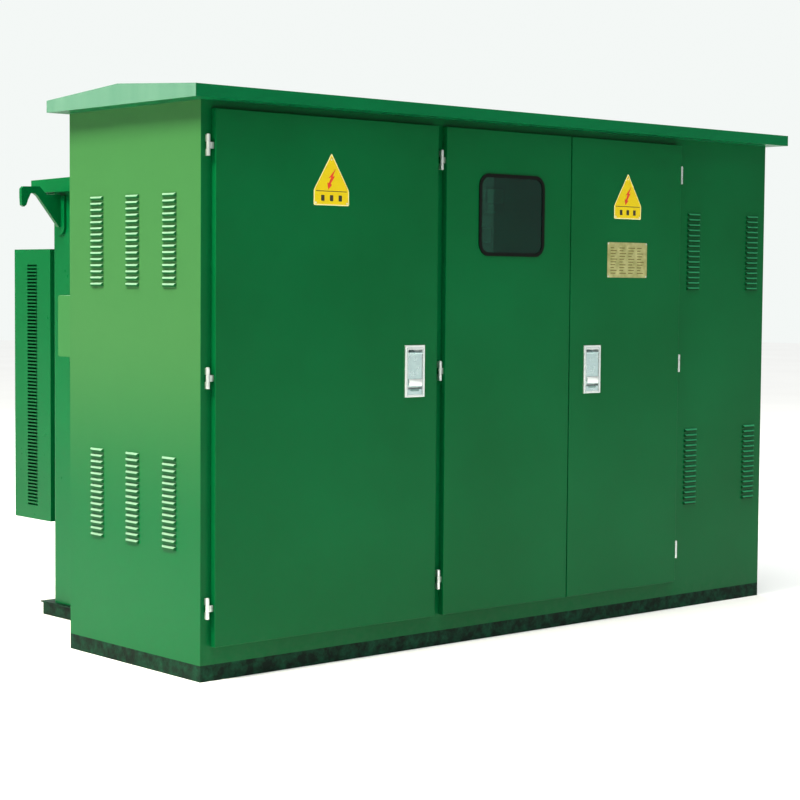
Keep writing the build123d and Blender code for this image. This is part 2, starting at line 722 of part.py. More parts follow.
with BuildPart() as lv_breaker:
    bar(BREAKER_X, (-330, -80), BREAKER_Z)
    bar((60, 340), (BREAKER_FACE, -330), (560, 800))
    fillet(lv_breaker.edges().filter_by(Axis.Y).group_by(SortBy.LENGTH)[-1], 10)
    for x in (40.0, 320.0):
        bar((x, x + 40), (-80, TANK_FRONT), (500, 860))
    cut((TOGGLE_X[0] - 1, TOGGLE_X[1] + 1), (BREAKER_FACE - 1, -312), (650, 710))
save(lv_breaker.part, "lv_breaker")

with BuildPart() as breaker_toggle:
    # the lever stands up at rest, for on
    lever = Plane(
        origin=(TOGGLE_X[0], *TOGGLE_PIVOT),
        x_dir=(0, -cos(radians(TOGGLE_TILT)), sin(radians(TOGGLE_TILT))),
        z_dir=(1, 0, 0),
    )
    with BuildSketch(lever):
        SlotCenterToCenter(92, 16)
        with Locations((-50, 0)):
            Rectangle(86, 30, mode=Mode.SUBTRACT)
    extrude(amount=TOGGLE_X[1] - TOGGLE_X[0])
save(breaker_toggle.part, "breaker_toggle")

# ---------------------------------------------------------------- fuses
FUSE_R = 20.0
FUSE_FACE = -140.0
holders = []
for x in FUSE_X:
    with BuildPart() as holder:
        steps = ((TANK_FRONT, -37, 38), (-37, FUSE_FACE, 30), (60, TANK_FRONT, FUSE_SHANK_R))
        stack(x, FUSE_Z, steps)
        with Locations((x, TANK_FRONT, FUSE_Z)):
            Cylinder(FUSE_R + 0.08, 400, rotation=ALONG_FRONT, mode=Mode.SUBTRACT)
    holders.append(holder.part)
save(Compound(children=holders), "fuse_holders")

for letter, x in zip("abc", FUSE_X):
    with BuildPart() as fuse_pull:
        stack(x, FUSE_Z, ((40, FUSE_FACE, FUSE_R), (FUSE_FACE - 0.3, FUSE_FACE - 18, 28)))
        stack(x, FUSE_Z, ((FUSE_FACE, FUSE_FACE - 1, FUSE_R),))
        # pulling eye
        with Locations((x, FUSE_FACE - 38, FUSE_Z)):
            Torus(20, 5, rotation=(0, 90, 0))
        bar((x - 5, x + 5), (FUSE_FACE - 22, FUSE_FACE - 17), (FUSE_Z - 8, FUSE_Z + 8))
    save(fuse_pull.part, f"fuse_pull_{letter}")

# ---------------------------------------------------------------- switch handles and fittings
HANDLE_FACE = TANK_FRONT - BOSS_LEN - 0.3


def rotary_handle(x, z, reach, thick):
    """Shaft, hub and one arm with a hook-stick eye at its end."""
    with BuildPart() as handle:
        stack(x, z, ((20, HANDLE_FACE, SHAFT_R), (HANDLE_FACE, HANDLE_FACE - 24, 24)))
        with BuildSketch(Plane.XZ.offset(-(HANDLE_FACE - 24))):
            with Locations((x + reach / 2, z)):
                SlotCenterToCenter(reach, 44)
            with Locations((x + reach, z)):
                Circle(13, mode=Mode.SUBTRACT)
        extrude(amount=thick)
    return handle.part


save(rotary_handle(*LOAD_SWITCH, 120.0, 10.0), "load_switch_handle")
save(rotary_handle(*TAP_CHANGER, 70.0, 8.0), "tap_changer_knob")

gauges = []
for z in GAUGE_Z:
    with BuildPart() as gauge:
        stack(GAUGE_X, z, ((TANK_FRONT, -62, 44), (-62, -76, 52)))
        fillet(gauge.edges().filter_by(GeomType.CIRCLE).sort_by(Axis.Y)[0], 4)
    gauges.append(gauge.part)
save(Compound(children=gauges), "tank_gauges")

with BuildPart() as relief_valve:
    with BuildSketch(Plane.XZ.offset(-TANK_FRONT)):
        with Locations(RELIEF):
            RegularPolygon(20, 6)
    extrude(amount=16)
    stack(RELIEF[0], RELIEF[1], ((-41, -80, 13), (-80, -86, 17)))
save(relief_valve.part, "relief_valve")

VALVE_FACE = -125.0
with BuildPart() as drain_valve:
    stack(*DRAIN, ((10, -60, DRAIN_R), (TANK_FRONT, -33, 30), (-60, -110, 27), (-110, VALVE_FACE, 12)))
    with Locations((DRAIN[0], -85, DRAIN[1] - 30)):
        Cylinder(15, 40)
    with Locations((DRAIN[0], VALVE_FACE, DRAIN[1])):
        Cylinder(5.06, 40, rotation=ALONG_FRONT, mode=Mode.SUBTRACT)
save(drain_valve.part, "drain_valve")

with BuildPart() as drain_handwheel:
    stack(*DRAIN, ((VALVE_FACE + 15, VALVE_FACE - 20, 5), (VALVE_FACE - 1, VALVE_FACE - 20, 11)))
    with Locations((DRAIN[0], VALVE_FACE - 12, DRAIN[1])):
        Torus(40, 6, rotation=ALONG_FRONT)
        Box(80, 8, 9)
        Box(9, 8, 80)
save(drain_handwheel.part, "drain_handwheel")

# ---------------------------------------------------------------- instrument panel
PANEL_X = (-260.0, 170.0)
PANEL_Z = (1280.0, 1660.0)
PANEL_Y = -560.0
METER = 96.0
METER_D = 14.0
METERS_X = ((-165.0, -45.0, 75.0), (-105.0, 15.0))
METERS_Z = (1530.0, 1390.0)
PANEL_FLANGE = 25.0
BRACKET_Z = (1290.0, 1340.0)
with BuildPart() as panel_face:
    bar(PANEL_X, (PANEL_Y, PANEL_Y + SHEET), PANEL_Z)
    for z, columns in zip(METERS_Z, METERS_X):
        with Locations(*[(x, PANEL_Y - METER_D / 2, z) for x in columns]):
            Box(METER, METER_D, METER)
panel_solids = [panel_face.part]
for x in (PANEL_X[0], PANEL_X[1] - SHEET):
    # side flange, and the bracket that carries the panel from the tank wall
    with BuildPart() as flange:
        bar((x, x + SHEET), (PANEL_Y + SHEET, PANEL_Y + PANEL_FLANGE), PANEL_Z)
    with BuildPart() as bracket:
        bar((x, x + SHEET), (PANEL_Y + PANEL_FLANGE, TANK_FRONT), BRACKET_Z)
    panel_solids += [flange.part, bracket.part]
save(Compound(children=panel_solids), "instrument_panel")

# ---------------------------------------------------------------- hinges
KNUCKLE_GAP = 0.5


def frame_leaf(x, z):
    """Upper and lower knuckles with their feet on the frame."""
    solids = []
    for side in (-1, 1):
        middle = z + side * (KNUCKLE_LEN + KNUCKLE_GAP)
        with BuildPart() as knuckle:
            with Locations((x, HINGE_Y, middle)):
                Cylinder(KNUCKLE_R, KNUCKLE_LEN)
            half = KNUCKLE_LEN / 2
            bar((x - 2.5, x + 2.5), (HINGE_Y, CAB_FRONT), (middle - half, middle + half))
            with Locations((x, HINGE_Y, middle)):
                Cylinder(PIN_R + 0.01, 2 * KNUCKLE_LEN, mode=Mode.SUBTRACT)
        solids.append(knuckle.part)
    return solids


def door_leaf(x, z, edge):
    """Middle knuckle with its tab on the door's edge."""
    side = 1 if edge > x else -1
    with BuildPart() as knuckle:
        with Locations((x, HINGE_Y, z)):
            Cylinder(KNUCKLE_R, KNUCKLE_LEN - KNUCKLE_GAP)
        half = KNUCKLE_LEN / 2 - KNUCKLE_GAP
        bar((x + side * 4, edge), (HINGE_Y - 1.5, HINGE_Y + 1.5), (z - half, z + half))
        with Locations((x, HINGE_Y, z)):
            Cylinder(PIN_R + 0.06, 2 * KNUCKLE_LEN, mode=Mode.SUBTRACT)
    return knuckle.part


DOOR_EDGE = {"hv": HV_DOOR_X[0], "lv_left": LV_LEFT_X[0], "lv_right": LV_RIGHT_X[1]}
leaves = [solid for x in HINGE_X.values() for z in HINGE_Z for solid in frame_leaf(x, z)]
save(Compound(children=leaves), "hinge_frame_leaves")
for name, x in HINGE_X.items():
    knuckles = [door_leaf(x, z, DOOR_EDGE[name]) for z in HINGE_Z]
    save(Compound(children=knuckles), f"{name}_door_hinges")

with BuildPart() as hinge_pins:
    reach = 3 * KNUCKLE_LEN / 2 + KNUCKLE_GAP
    with Locations(*[(x, HINGE_Y, z) for x in HINGE_X.values() for z in HINGE_Z]):
        Cylinder(PIN_R, 2 * reach)
    with Locations(*[(x, HINGE_Y, z + reach + 1) for x in HINGE_X.values() for z in HINGE_Z]):
        Cylinder(PIN_R + 2, 2)
save(Compound(children=hinge_pins.part.solids()), "hinge_pins")

# ---------------------------------------------------------------- door seals
SEAL_W = 14.0
SEAL_INSET = 6.0
SEAL_T = 9.7
seals = []
for x0, x1 in (HV_DOOR_X, (LV_LEFT_X[0], LV_RIGHT_X[1])):
    outer = (x1 - x0 - 2 * SEAL_INSET, DOOR_Z1 - DOOR_Z0 - 2 * SEAL_INSET)
    with BuildPart() as seal:
        with BuildSketch(Plane.XZ.offset(-CAB_FRONT)):
            with Locations(((x0 + x1) / 2, (DOOR_Z0 + DOOR_Z1) / 2)):
                Rectangle(*outer)
                Rectangle(outer[0] - 2 * SEAL_W, outer[1] - 2 * SEAL_W, mode=Mode.SUBTRACT)
        extrude(amount=SEAL_T)
    seals.append(seal.part)
save(Compound(children=seals), "door_seals")

# ---------------------------------------------------------------- doors
DOOR_SHEET = 2.0
DOOR_BACK = CAB_FRONT - 1.5
LIP_Y = (CAB_FRONT - 12, CAB_FRONT - 10)
LIP_W = 20.0
CASE_W = 76.0
CASE_H = 162.0
WINDOW = (-46.5, 1466.5)  # middle X and Z
WINDOW_SIZE = (317.0, 281.0)
WINDOW_R = 45.0
GASKET_W = 12.0


def rod_guides(x, heights):
    """Welded brackets that hold a latch rod or bolt behind the door."""
    back = ROD_Y + ROD_T / 2 + 3
    for z in heights:
        bar((x - ROD_W / 2 - 6, x + ROD_W / 2 + 6), (DOOR_FACE + 1, back), (z - 10, z + 10))
        slot = (ROD_Y - ROD_T / 2 - 0.5, ROD_Y + ROD_T / 2 + 0.5)
        cut((x - ROD_W / 2 - 0.5, x + ROD_W / 2 + 0.5), slot, (z - 11, z + 11))


def door_tray(x0, x1, stiffeners, seam=None):
    """Folded door: skin, four returns and a lip behind them, with hat stiffeners.

    The return along the seam between two leaves stops at the lip, clear of the seal behind it.
    """
    bar((x0, x1), (DOOR_FACE, DOOR_BACK), (DOOR_Z0, DOOR_Z1))
    cut(
        (x0 + DOOR_SHEET, x1 - DOOR_SHEET),
        (DOOR_FACE + DOOR_SHEET, DOOR_BACK + 1),
        (DOOR_Z0 + DOOR_SHEET, DOOR_Z1 - DOOR_SHEET),
    )
    bar((x0 + 1, x1 - 1), LIP_Y, (DOOR_Z0 + 1, DOOR_Z1 - 1))
    cut(
        (x0 + LIP_W, x1 - LIP_W),
        (LIP_Y[0] - 1, LIP_Y[1] + 1),
        (DOOR_Z0 + LIP_W, DOOR_Z1 - LIP_W),
    )
    if seam is not None:
        cut((seam - 3, seam + 3), (LIP_Y[1], DOOR_BACK + 1), (DOOR_Z0 - 1, DOOR_Z1 + 1))
    hat_x = (x0 + LIP_W + 10, x1 - LIP_W - 10)
    for z in stiffeners:
        bar(hat_x, (DOOR_FACE + 1, DOOR_FACE + 9), (z - 25, z + 25))
        cut(
            (hat_x[0] - 1, hat_x[1] + 1),
            (DOOR_FACE + DOOR_SHEET, DOOR_FACE + 9 - DOOR_SHEET),
            (z - 23, z + 23),
        )


def round_skin(part):
    """Break the door's front edges as a folded sheet does."""
    front = part.faces().sort_by(Axis.Y)[0]
    fillet(front.outer_wire().edges(), 1.8)


def lock_cutout(x, top):
    """Opening in the door for the lock case."""
    middle = top - LOCK_H / 2
    cut(
        (x - CASE_W / 2 - 0.5, x + CASE_W / 2 + 0.5),
        (DOOR_FACE - 1, DOOR_FACE + 12),
        (middle - CASE_H / 2 - 0.5, middle + CASE_H / 2 + 0.5),
    )


with BuildPart() as hv_door:
    door_tray(*HV_DOOR_X, (420, 1290))
    round_skin(hv_door)
    lock_cutout(*HV_LOCK)
    rod_guides(HV_LOCK[0], (1120, 1400, 1680))
save(hv_door.part, "hv_door")

with BuildPart() as lv_right_door:
    door_tray(*LV_RIGHT_X, (420, 1200), seam=LV_RIGHT_X[0])
    round_skin(lv_right_door)
    lock_cutout(*LV_LOCK)
    rod_guides(LV_LOCK[0], (1120, 1400, 1680))
save(lv_right_door.part, "lv_right_door")

with BuildPart() as lv_left_door:
    door_tray(*LV_LEFT_X, (420, 1060), seam=LV_LEFT_X[1])
    round_skin(lv_left_door)
    with BuildSketch(Plane.XZ.offset(-DOOR_FACE + 1)):
        with Locations(WINDOW):
            RectangleRounded(WINDOW_SIZE[0] - GASKET_W, WINDOW_SIZE[1] - GASKET_W, WINDOW_R - 6)
    extrude(amount=-DOOR_T, mode=Mode.SUBTRACT)
    rod_guides(FLUSH_BOLT_X, (1540, 1680, 180, 330))
save(lv_left_door.part, "lv_left_door")


def window_outline(inset):
    """Rounded window shape drawn in by inset."""
    with Locations(WINDOW):
        RectangleRounded(
            WINDOW_SIZE[0] - 2 * inset, WINDOW_SIZE[1] - 2 * inset, WINDOW_R - inset
        )


GLASS_Y = (DOOR_FACE - 1, DOOR_FACE + 3)
GLASS_BITE = 5.0
with BuildPart() as window_gasket:
    with BuildSketch(Plane.XZ.offset(-DOOR_FACE + 4)):
        window_outline(0)
    extrude(amount=-10)
    with BuildSketch(Plane.XZ.offset(-DOOR_FACE + 5)):
        window_outline(GASKET_W)
    extrude(amount=-12, mode=Mode.SUBTRACT)
    with BuildSketch(Plane.XZ.offset(-GLASS_Y[0])):
        window_outline(GASKET_W - GLASS_BITE)
    extrude(amount=GLASS_Y[0] - GLASS_Y[1], mode=Mode.SUBTRACT)
    # groove that grips the door's skin
    with BuildSketch(Plane.XZ.offset(-DOOR_FACE)):
        window_outline(-2)
        with Locations(WINDOW):
            RectangleRounded(
                WINDOW_SIZE[0] - GASKET_W, WINDOW_SIZE[1] - GASKET_W, WINDOW_R - 6, mode=Mode.SUBTRACT
            )
    extrude(amount=-DOOR_SHEET, mode=Mode.SUBTRACT)
save(window_gasket.part, "window_gasket")

with BuildPart() as window_glass:
    with BuildSketch(Plane.XZ.offset(-GLASS_Y[0])):
        window_outline(GASKET_W - GLASS_BITE)
    extrude(amount=GLASS_Y[0] - GLASS_Y[1])
save(window_glass.part, "window_glass")

# ---------------------------------------------------------------- plates on the doors
SIGN_W = 145.0
SIGN_BASE = 48.0
SIGN_H = 165.5  # before its tip is rounded
PLATE_T = 1.2


def warning_plate(x, z):
    """Yellow plate: a triangle standing on a rectangle; x is its middle and z its foot."""
    with BuildPart() as plate:
        with BuildSketch(Plane.XZ.offset(-DOOR_FACE)):
            with BuildLine():
                Polyline(
                    (x - SIGN_W / 2, z),
                    (x + SIGN_W / 2, z),
                    (x + SIGN_W / 2, z + SIGN_BASE),
                    (x, z + SIGN_H),
                    (x - SIGN_W / 2, z + SIGN_BASE),
                    close=True,
                )
            make_face()
        extrude(amount=PLATE_T)
        fillet(plate.edges().filter_by(Axis.Y), 5)
    return plate.part


save(warning_plate(-855.5, 1475.5), "hv_warning_plate")
save(warning_plate(548.0, 1471.0), "lv_warning_plate")

with BuildPart() as nameplate:
    with BuildSketch(Plane.XZ.offset(-DOOR_FACE)):
        with Locations((550, 1321.5)):
            RectangleRounded(214, 128, 4)
    extrude(amount=PLATE_T)
save(nameplate.part, "nameplate")

# ---------------------------------------------------------------- door locks
BEZEL_Y = (DOOR_FACE - LOCK_BEZEL, DOOR_FACE)
CASE_BACK = DOOR_FACE + 22.0
MOUTH_W = 65.0
MOUTH_DROP = (15.0, 165.0)  # from the case's top edge to the mouth's top and bottom
PADDLE_DROP = (23.5, 138.5)
BUTTON_DROP = (146.0, 164.5)
TRUNNION_R = 3.0
TAIL_T = 5.0
TAIL_RISE = TAIL_LEN * sin(radians(TAIL_TILT))
PIN_SLOT = (8.5, 6.6)


def lock_case(x, top):
    """Bezel, dish walls and a back plate slotted for the paddle's tail."""
    pivot = top - PIVOT_DROP
    middle = top - LOCK_H / 2
    with BuildPart() as case:
        bar((x - LOCK_W / 2, x + LOCK_W / 2), BEZEL_Y, (top - LOCK_H, top))
        fillet(case.faces().sort_by(Axis.Y)[0].edges(), 1.5)
        bar(
            (x - CASE_W / 2, x + CASE_W / 2),
            (DOOR_FACE - 1, CASE_BACK),
            (middle - CASE_H / 2, middle + CASE_H / 2),
        )
        cut(
            (x - MOUTH_W / 2, x + MOUTH_W / 2),
            (BEZEL_Y[0] - 1, DOOR_FACE),
            (top - MOUTH_DROP[1], top - MOUTH_DROP[0]),
        )
        cut(
            (x - CASE_W / 2 + 2, x + CASE_W / 2 - 2),
            (DOOR_FACE - 0.5, CASE_BACK - 2),
            (middle - CASE_H / 2 + 2, middle + CASE_H / 2 - 2),
        )
        cut((x - 5, x + 5), (CASE_BACK - 3, CASE_BACK + 1), (pivot - 22, pivot + 24))
        with Locations((x, PIVOT_Y, pivot)):
            Cylinder(TRUNNION_R + 0.06, CASE_W, rotation=(0, 90, 0), mode=Mode.SUBTRACT)
    return case.part


def paddle(x, top):
    """Lifting paddle with its trunnions, and the tail and pin that work the latch rod."""
    pivot = top - PIVOT_DROP
    face = BEZEL_Y[0] + 0.5
    tail_plane = Plane(
        origin=(x - TAIL_T / 2, PIVOT_Y, pivot),
        x_dir=(0, cos(radians(TAIL_TILT)), sin(radians(TAIL_TILT))),
        z_dir=(1, 0, 0),
    )
    with BuildPart() as lever:
        bar(
            (x - PADDLE_W / 2, x + PADDLE_W / 2),
            (face, face + 3.5),
            (top - PADDLE_DROP[1], top - PADDLE_DROP[0]),
        )
        fillet(lever.faces().sort_by(Axis.Y)[0].edges(), 1.2)
        # folded grip along the lower edge
        bar(
            (x - PADDLE_W / 2, x + PADDLE_W / 2),
            (face + 2, face + 11),
            (top - PADDLE_DROP[1], top - PADDLE_DROP[1] + 3),
        )
        with Locations((x, PIVOT_Y, pivot)):
            Cylinder(TRUNNION_R + 1, PADDLE_W, rotation=(0, 90, 0))
            Cylinder(TRUNNION_R, CASE_W - 1, rotation=(0, 90, 0))
        with BuildSketch(tail_plane):
            with Locations((TAIL_LEN / 2, 0)):
                SlotCenterToCenter(TAIL_LEN, 12)
        extrude(amount=TAIL_T)
        tip = (x, PIVOT_Y + TAIL_LEN * cos(radians(TAIL_TILT)), pivot + TAIL_RISE)
        with Locations(tip):
            Cylinder(3, ROD_W, rotation=(0, 90, 0))
    return lever.part


def latch_button(x, top):
    """Press button under the paddle, with a finger scoop in its upper edge."""
    face = BEZEL_Y[0] + 0.5
    z0 = top - BUTTON_DROP[1]
    z1 = top - BUTTON_DROP[0]
    with BuildPart() as button:
        bar((x - PADDLE_W / 2, x + PADDLE_W / 2), (face, face + 14), (z0, z1))
        cut((x - 20, x + 20), (face - 1, face + 7), (z1 - 6, z1 + 1))
        fillet(button.faces().sort_by(Axis.Y)[0].outer_wire().edges(), 1.0)
    return button.part


def latch_rod(x, top):
    """Flat rod from the paddle's tail up into the header's keeper notch, with a forked foot."""
    pin_z = top - PIVOT_DROP + TAIL_RISE
    with BuildPart() as rod:
        bar((x - ROD_W / 2, x + ROD_W / 2), (ROD_Y - ROD_T / 2, ROD_Y + ROD_T / 2), (pin_z, BOLT_TIP_Z))
        chamfer(rod.faces().sort_by(Axis.Z)[-1].edges().filter_by(Axis.X), 2)
        bar((x - ROD_W / 2, x + ROD_W / 2), (ROD_Y - 8, ROD_Y + 8), (pin_z - 9, pin_z + 24))
        cut((x - TAIL_T / 2 - 0.8, x + TAIL_T / 2 + 0.8), (ROD_Y - 20, ROD_Y + 20), (pin_z - 10, pin_z + 18))
        with BuildSketch(Plane.YZ.offset(x - ROD_W)):
            with Locations((ROD_Y, pin_z)):
                Rectangle(*PIN_SLOT)
        extrude(amount=2 * ROD_W, mode=Mode.SUBTRACT)
    return rod.part


for name, lock in (("hv", HV_LOCK), ("lv", LV_LOCK)):
    save(lock_case(*lock), f"{name}_lock_case")
    save(paddle(*lock), f"{name}_paddle")
    save(latch_button(*lock), f"{name}_latch_button")
    save(latch_rod(*lock), f"{name}_latch_rod")


def flush_bolt(z0, z1, knob_z):
    """Sliding bolt of the passive leaf, with a finger knob."""
    x = FLUSH_BOLT_X
    with BuildPart() as bolt:
        bar((x - ROD_W / 2, x + ROD_W / 2), (ROD_Y - ROD_T / 2, ROD_Y + ROD_T / 2), (z0, z1))
        with Locations((x, ROD_Y + 12, knob_z)):
            Cylinder(6, 22, rotation=(90, 0, 0))
    return bolt.part


save(flush_bolt(1500, BOLT_TIP_Z, 1610), "upper_flush_bolt")
save(flush_bolt(DOOR_Z0 + 10, 370, 255), "lower_flush_bolt")
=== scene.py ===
import math

import bpy
from mathutils import Matrix, Vector


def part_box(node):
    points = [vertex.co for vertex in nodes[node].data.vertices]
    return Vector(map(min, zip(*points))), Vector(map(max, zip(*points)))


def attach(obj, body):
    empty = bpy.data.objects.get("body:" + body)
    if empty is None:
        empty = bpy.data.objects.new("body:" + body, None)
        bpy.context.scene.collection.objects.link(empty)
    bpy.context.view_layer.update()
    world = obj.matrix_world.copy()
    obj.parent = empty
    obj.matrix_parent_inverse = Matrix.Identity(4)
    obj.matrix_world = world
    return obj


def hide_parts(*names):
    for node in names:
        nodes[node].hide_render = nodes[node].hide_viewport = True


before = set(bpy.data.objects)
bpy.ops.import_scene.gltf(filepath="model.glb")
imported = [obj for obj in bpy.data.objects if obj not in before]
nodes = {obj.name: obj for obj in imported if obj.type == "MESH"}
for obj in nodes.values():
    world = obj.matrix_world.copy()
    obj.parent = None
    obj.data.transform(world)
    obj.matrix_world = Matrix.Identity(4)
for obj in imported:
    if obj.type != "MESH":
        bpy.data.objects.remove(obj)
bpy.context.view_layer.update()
bpy.ops.object.select_all(action="DESELECT")

# ---------------------------------------------------------------- studio
# The transformer stands on a plain pale floor. A large soft light on its left lights that end, weaker
# ones light the doors and the back, and an overhead sky and the pale surroundings fill in the rest.


def linear(colour):
    """The linear red, green, blue and alpha of an sRGB hex colour."""
    channels = [int(colour[i : i + 2], 16) / 255 for i in (1, 3, 5)]
    return [c / 12.92 if c <= 0.04045 else ((c + 0.055) / 1.055) ** 2.4 for c in channels] + [1.0]


def add_node(tree, kind, inputs=(), links=(), **settings):
    """Adds a shader node with its settings, its sockets' values and its links from (node, output)."""
    made = tree.nodes.new("ShaderNode" + kind)
    for name, value in settings.items():
        setattr(made, name, value)
    for socket, value in dict(inputs).items():
        made.inputs[socket].default_value = value
    for socket, (source, output) in dict(links).items():
        tree.links.new(source.outputs[output], made.inputs[socket])
    return made


def start_finish(name, **shader_values):
    """A new material with its node tree, its shader and the piece's own coordinates."""
    made = bpy.data.materials.new(name)
    made.use_nodes = True
    tree = made.node_tree
    shader = tree.nodes["Principled BSDF"]
    for socket, value in shader_values.items():
        shader.inputs[socket.replace("_", " ")].default_value = value
    return made, tree, shader, add_node(tree, "TexCoord")


# Cast concrete floor, trowelled smooth: pale grey with faint clouds and a fine tooth.
floor_finish, tree, shader, place = start_finish("trowelled_concrete", Roughness=0.75)
clouds = add_node(tree, "TexNoise", {"Scale": 0.9, "Detail": 5.0}, {"Vector": (place, "Object")})
tone = add_node(
    tree,
    "Mix",
    {6: linear("#efefee"), 7: linear("#f8f8f7")},
    {0: (clouds, "Fac")},
    data_type="RGBA",
)
tree.links.new(tone.outputs[2], shader.inputs["Base Color"])
bpy.ops.mesh.primitive_plane_add(size=60)
floor = bpy.context.object
floor.name = "floor"
floor.data.materials.append(floor_finish)

world = bpy.data.worlds.new("pale_studio")
bpy.context.scene.world = world
world.use_nodes = True
surround = world.node_tree.nodes["Background"]
surround.inputs["Color"].default_value = linear("#f6faf8")
seen = add_node(world.node_tree, "LightPath")
strength = add_node(
    world.node_tree, "MapRange", {"To Min": 0.27, "To Max": 0.98}, {"Value": (seen, "Is Camera Ray")}
)
world.node_tree.links.new(strength.outputs["Result"], surround.inputs["Strength"])
bpy.context.scene.view_settings.view_transform = "Standard"


def soft_light(name, spot, aim, size, power, colour):
    """A large square light at spot that faces aim."""
    lamp = bpy.data.lights.new(name, "AREA")
    lamp.shape = "RECTANGLE"
    lamp.size, lamp.size_y = size
    lamp.energy = power
    lamp.color = linear(colour)[:3]
    stand = bpy.data.objects.new(name, lamp)
    stand.location = spot
    stand.rotation_euler = (Vector(aim) - Vector(spot)).to_track_quat("-Z", "Y").to_euler()
    bpy.context.scene.collection.objects.link(stand)


soft_light("left_light", (-6.5, -0.2, 7.0), (-1.35, -0.2, 0.9), (3, 3), 1300, "#fffbe0")
soft_light("front_light", (-0.5, -7.0, 8.0), (0.2, -0.7, 0.9), (4, 3), 150, "#fdfffb")
soft_light("rear_light", (3.5, 7.5, 6.0), (0.2, 0.4, 0.9), (5, 3), 340, "#fbfffd")
overhead = bpy.data.lights.new("overhead_light", "SUN")
overhead.energy = 2.6
overhead.angle = math.radians(40)
overhead_stand = bpy.data.objects.new("overhead_light", overhead)
overhead_stand.rotation_euler = (math.radians(10), math.radians(-12), 0)
bpy.context.scene.collection.objects.link(overhead_stand)

camera_data = bpy.data.cameras.new("camera")
camera_data.lens = 88.36
camera_data.sensor_width = 36.0
camera_data.clip_end = 200.0
camera = bpy.data.objects.new("camera", camera_data)
camera.location = (-4.8523, -5.6356, 1.2285)
bpy.context.scene.collection.objects.link(camera)
bpy.context.scene.camera = camera
TURN, DIP, ROLL = -0.7247, 0.0591, 0.0079
camera.rotation_mode = "XYZ"
camera.rotation_euler = (math.pi / 2 - DIP, -ROLL, TURN)

# ---------------------------------------------------------------- cabinet
# Folded sheet steel, about 2 to 2.5 mm thick, welded at the corners. It is shot-blasted, then powder
# coated green, which leaves a semi-gloss skin with a fine orange peel and a slow drift in film thickness.


def powder_coat(name, deep, thin, gloss=0.34, peel=0.05, dust_top=0.16):
    """Baked powder coat: deep is the full film's colour and thin is where the film is thinner.

    Orange peel has bumps about 2 mm apart, drawn at 5 mm so that they show. Dust splashed up from the
    pad settles on the lowest part, up to dust_top metres.
    """
    made, tree, shader, place = start_finish(name, IOR=1.5, Specular_IOR_Level=0.11)
    drift = add_node(tree, "TexNoise", {"Scale": 1.7, "Detail": 3.0}, {"Vector": (place, "Object")})
    drift_range = add_node(
        tree, "MapRange", {"From Min": 0.3, "From Max": 0.7}, {"Value": (drift, "Fac")}
    )
    film = add_node(
        tree,
        "Mix",
        {6: linear(deep), 7: linear(thin)},
        {0: (drift_range, "Result")},
        data_type="RGBA",
    )
    height = add_node(tree, "SeparateXYZ", links={"Vector": (place, "Object")})
    low = add_node(
        tree,
        "MapRange",
        {"From Min": 0.0, "From Max": dust_top, "To Min": 0.16, "To Max": 0.0},
        {"Value": (height, "Z")},
    )
    specks = add_node(
        tree, "TexNoise", {"Scale": 26.0, "Detail": 8.0, "Roughness": 0.7}, {"Vector": (place, "Object")}
    )
    patch = add_node(
        tree, "MapRange", {"From Min": 0.42, "From Max": 0.68}, {"Value": (specks, "Fac")}
    )
    dust = add_node(
        tree, "Math", links={0: (low, "Result"), 1: (patch, "Result")}, operation="MULTIPLY"
    )
    dusty = add_node(
        tree,
        "Mix",
        {7: linear("#4c6650")},
        {0: (dust, "Value"), 6: (film, 2)},
        data_type="RGBA",
    )
    tree.links.new(dusty.outputs[2], shader.inputs["Base Color"])
    sheen = add_node(
        tree,
        "MapRange",
        {"From Min": 0.25, "From Max": 0.75, "To Min": gloss - 0.05, "To Max": gloss + 0.07},
        {"Value": (specks, "Fac")},
    )
    tree.links.new(sheen.outputs["Result"], shader.inputs["Roughness"])
    orange_peel = add_node(
        tree, "TexNoise", {"Scale": 200.0, "Detail": 1.0}, {"Vector": (place, "Object")}
    )
    wave = add_node(tree, "TexNoise", {"Scale": 3.2, "Detail": 1.0}, {"Vector": (place, "Object")})
    peel_bump = add_node(
        tree, "Bump", {"Strength": peel, "Distance": 0.002}, {"Height": (orange_peel, "Fac")}
    )
    sheet_bump = add_node(
        tree,
        "Bump",
        {"Strength": 0.16, "Distance": 0.012},
        {"Height": (wave, "Fac"), "Normal": (peel_bump, "Normal")},
    )
    tree.links.new(sheet_bump.outputs["Normal"], shader.inputs["Normal"])
    return made


def dress(finish, *names):
    """Gives CAD nodes that finish in place of the one they came with."""
    for name in names:
        mesh = nodes[name].data
        mesh.materials.clear()
        mesh.materials.append(finish)
        mesh.polygons.foreach_set("material_index", [0] * len(mesh.polygons))


cabinet_green = powder_coat("cabinet_green_powder_coat", "#005228", "#005b2f")
dress(
    cabinet_green,
    "door_frame",
    "rear_panels",
    "compartment_partition",
    "hv_door",
    "lv_left_door",
    "lv_right_door",
)
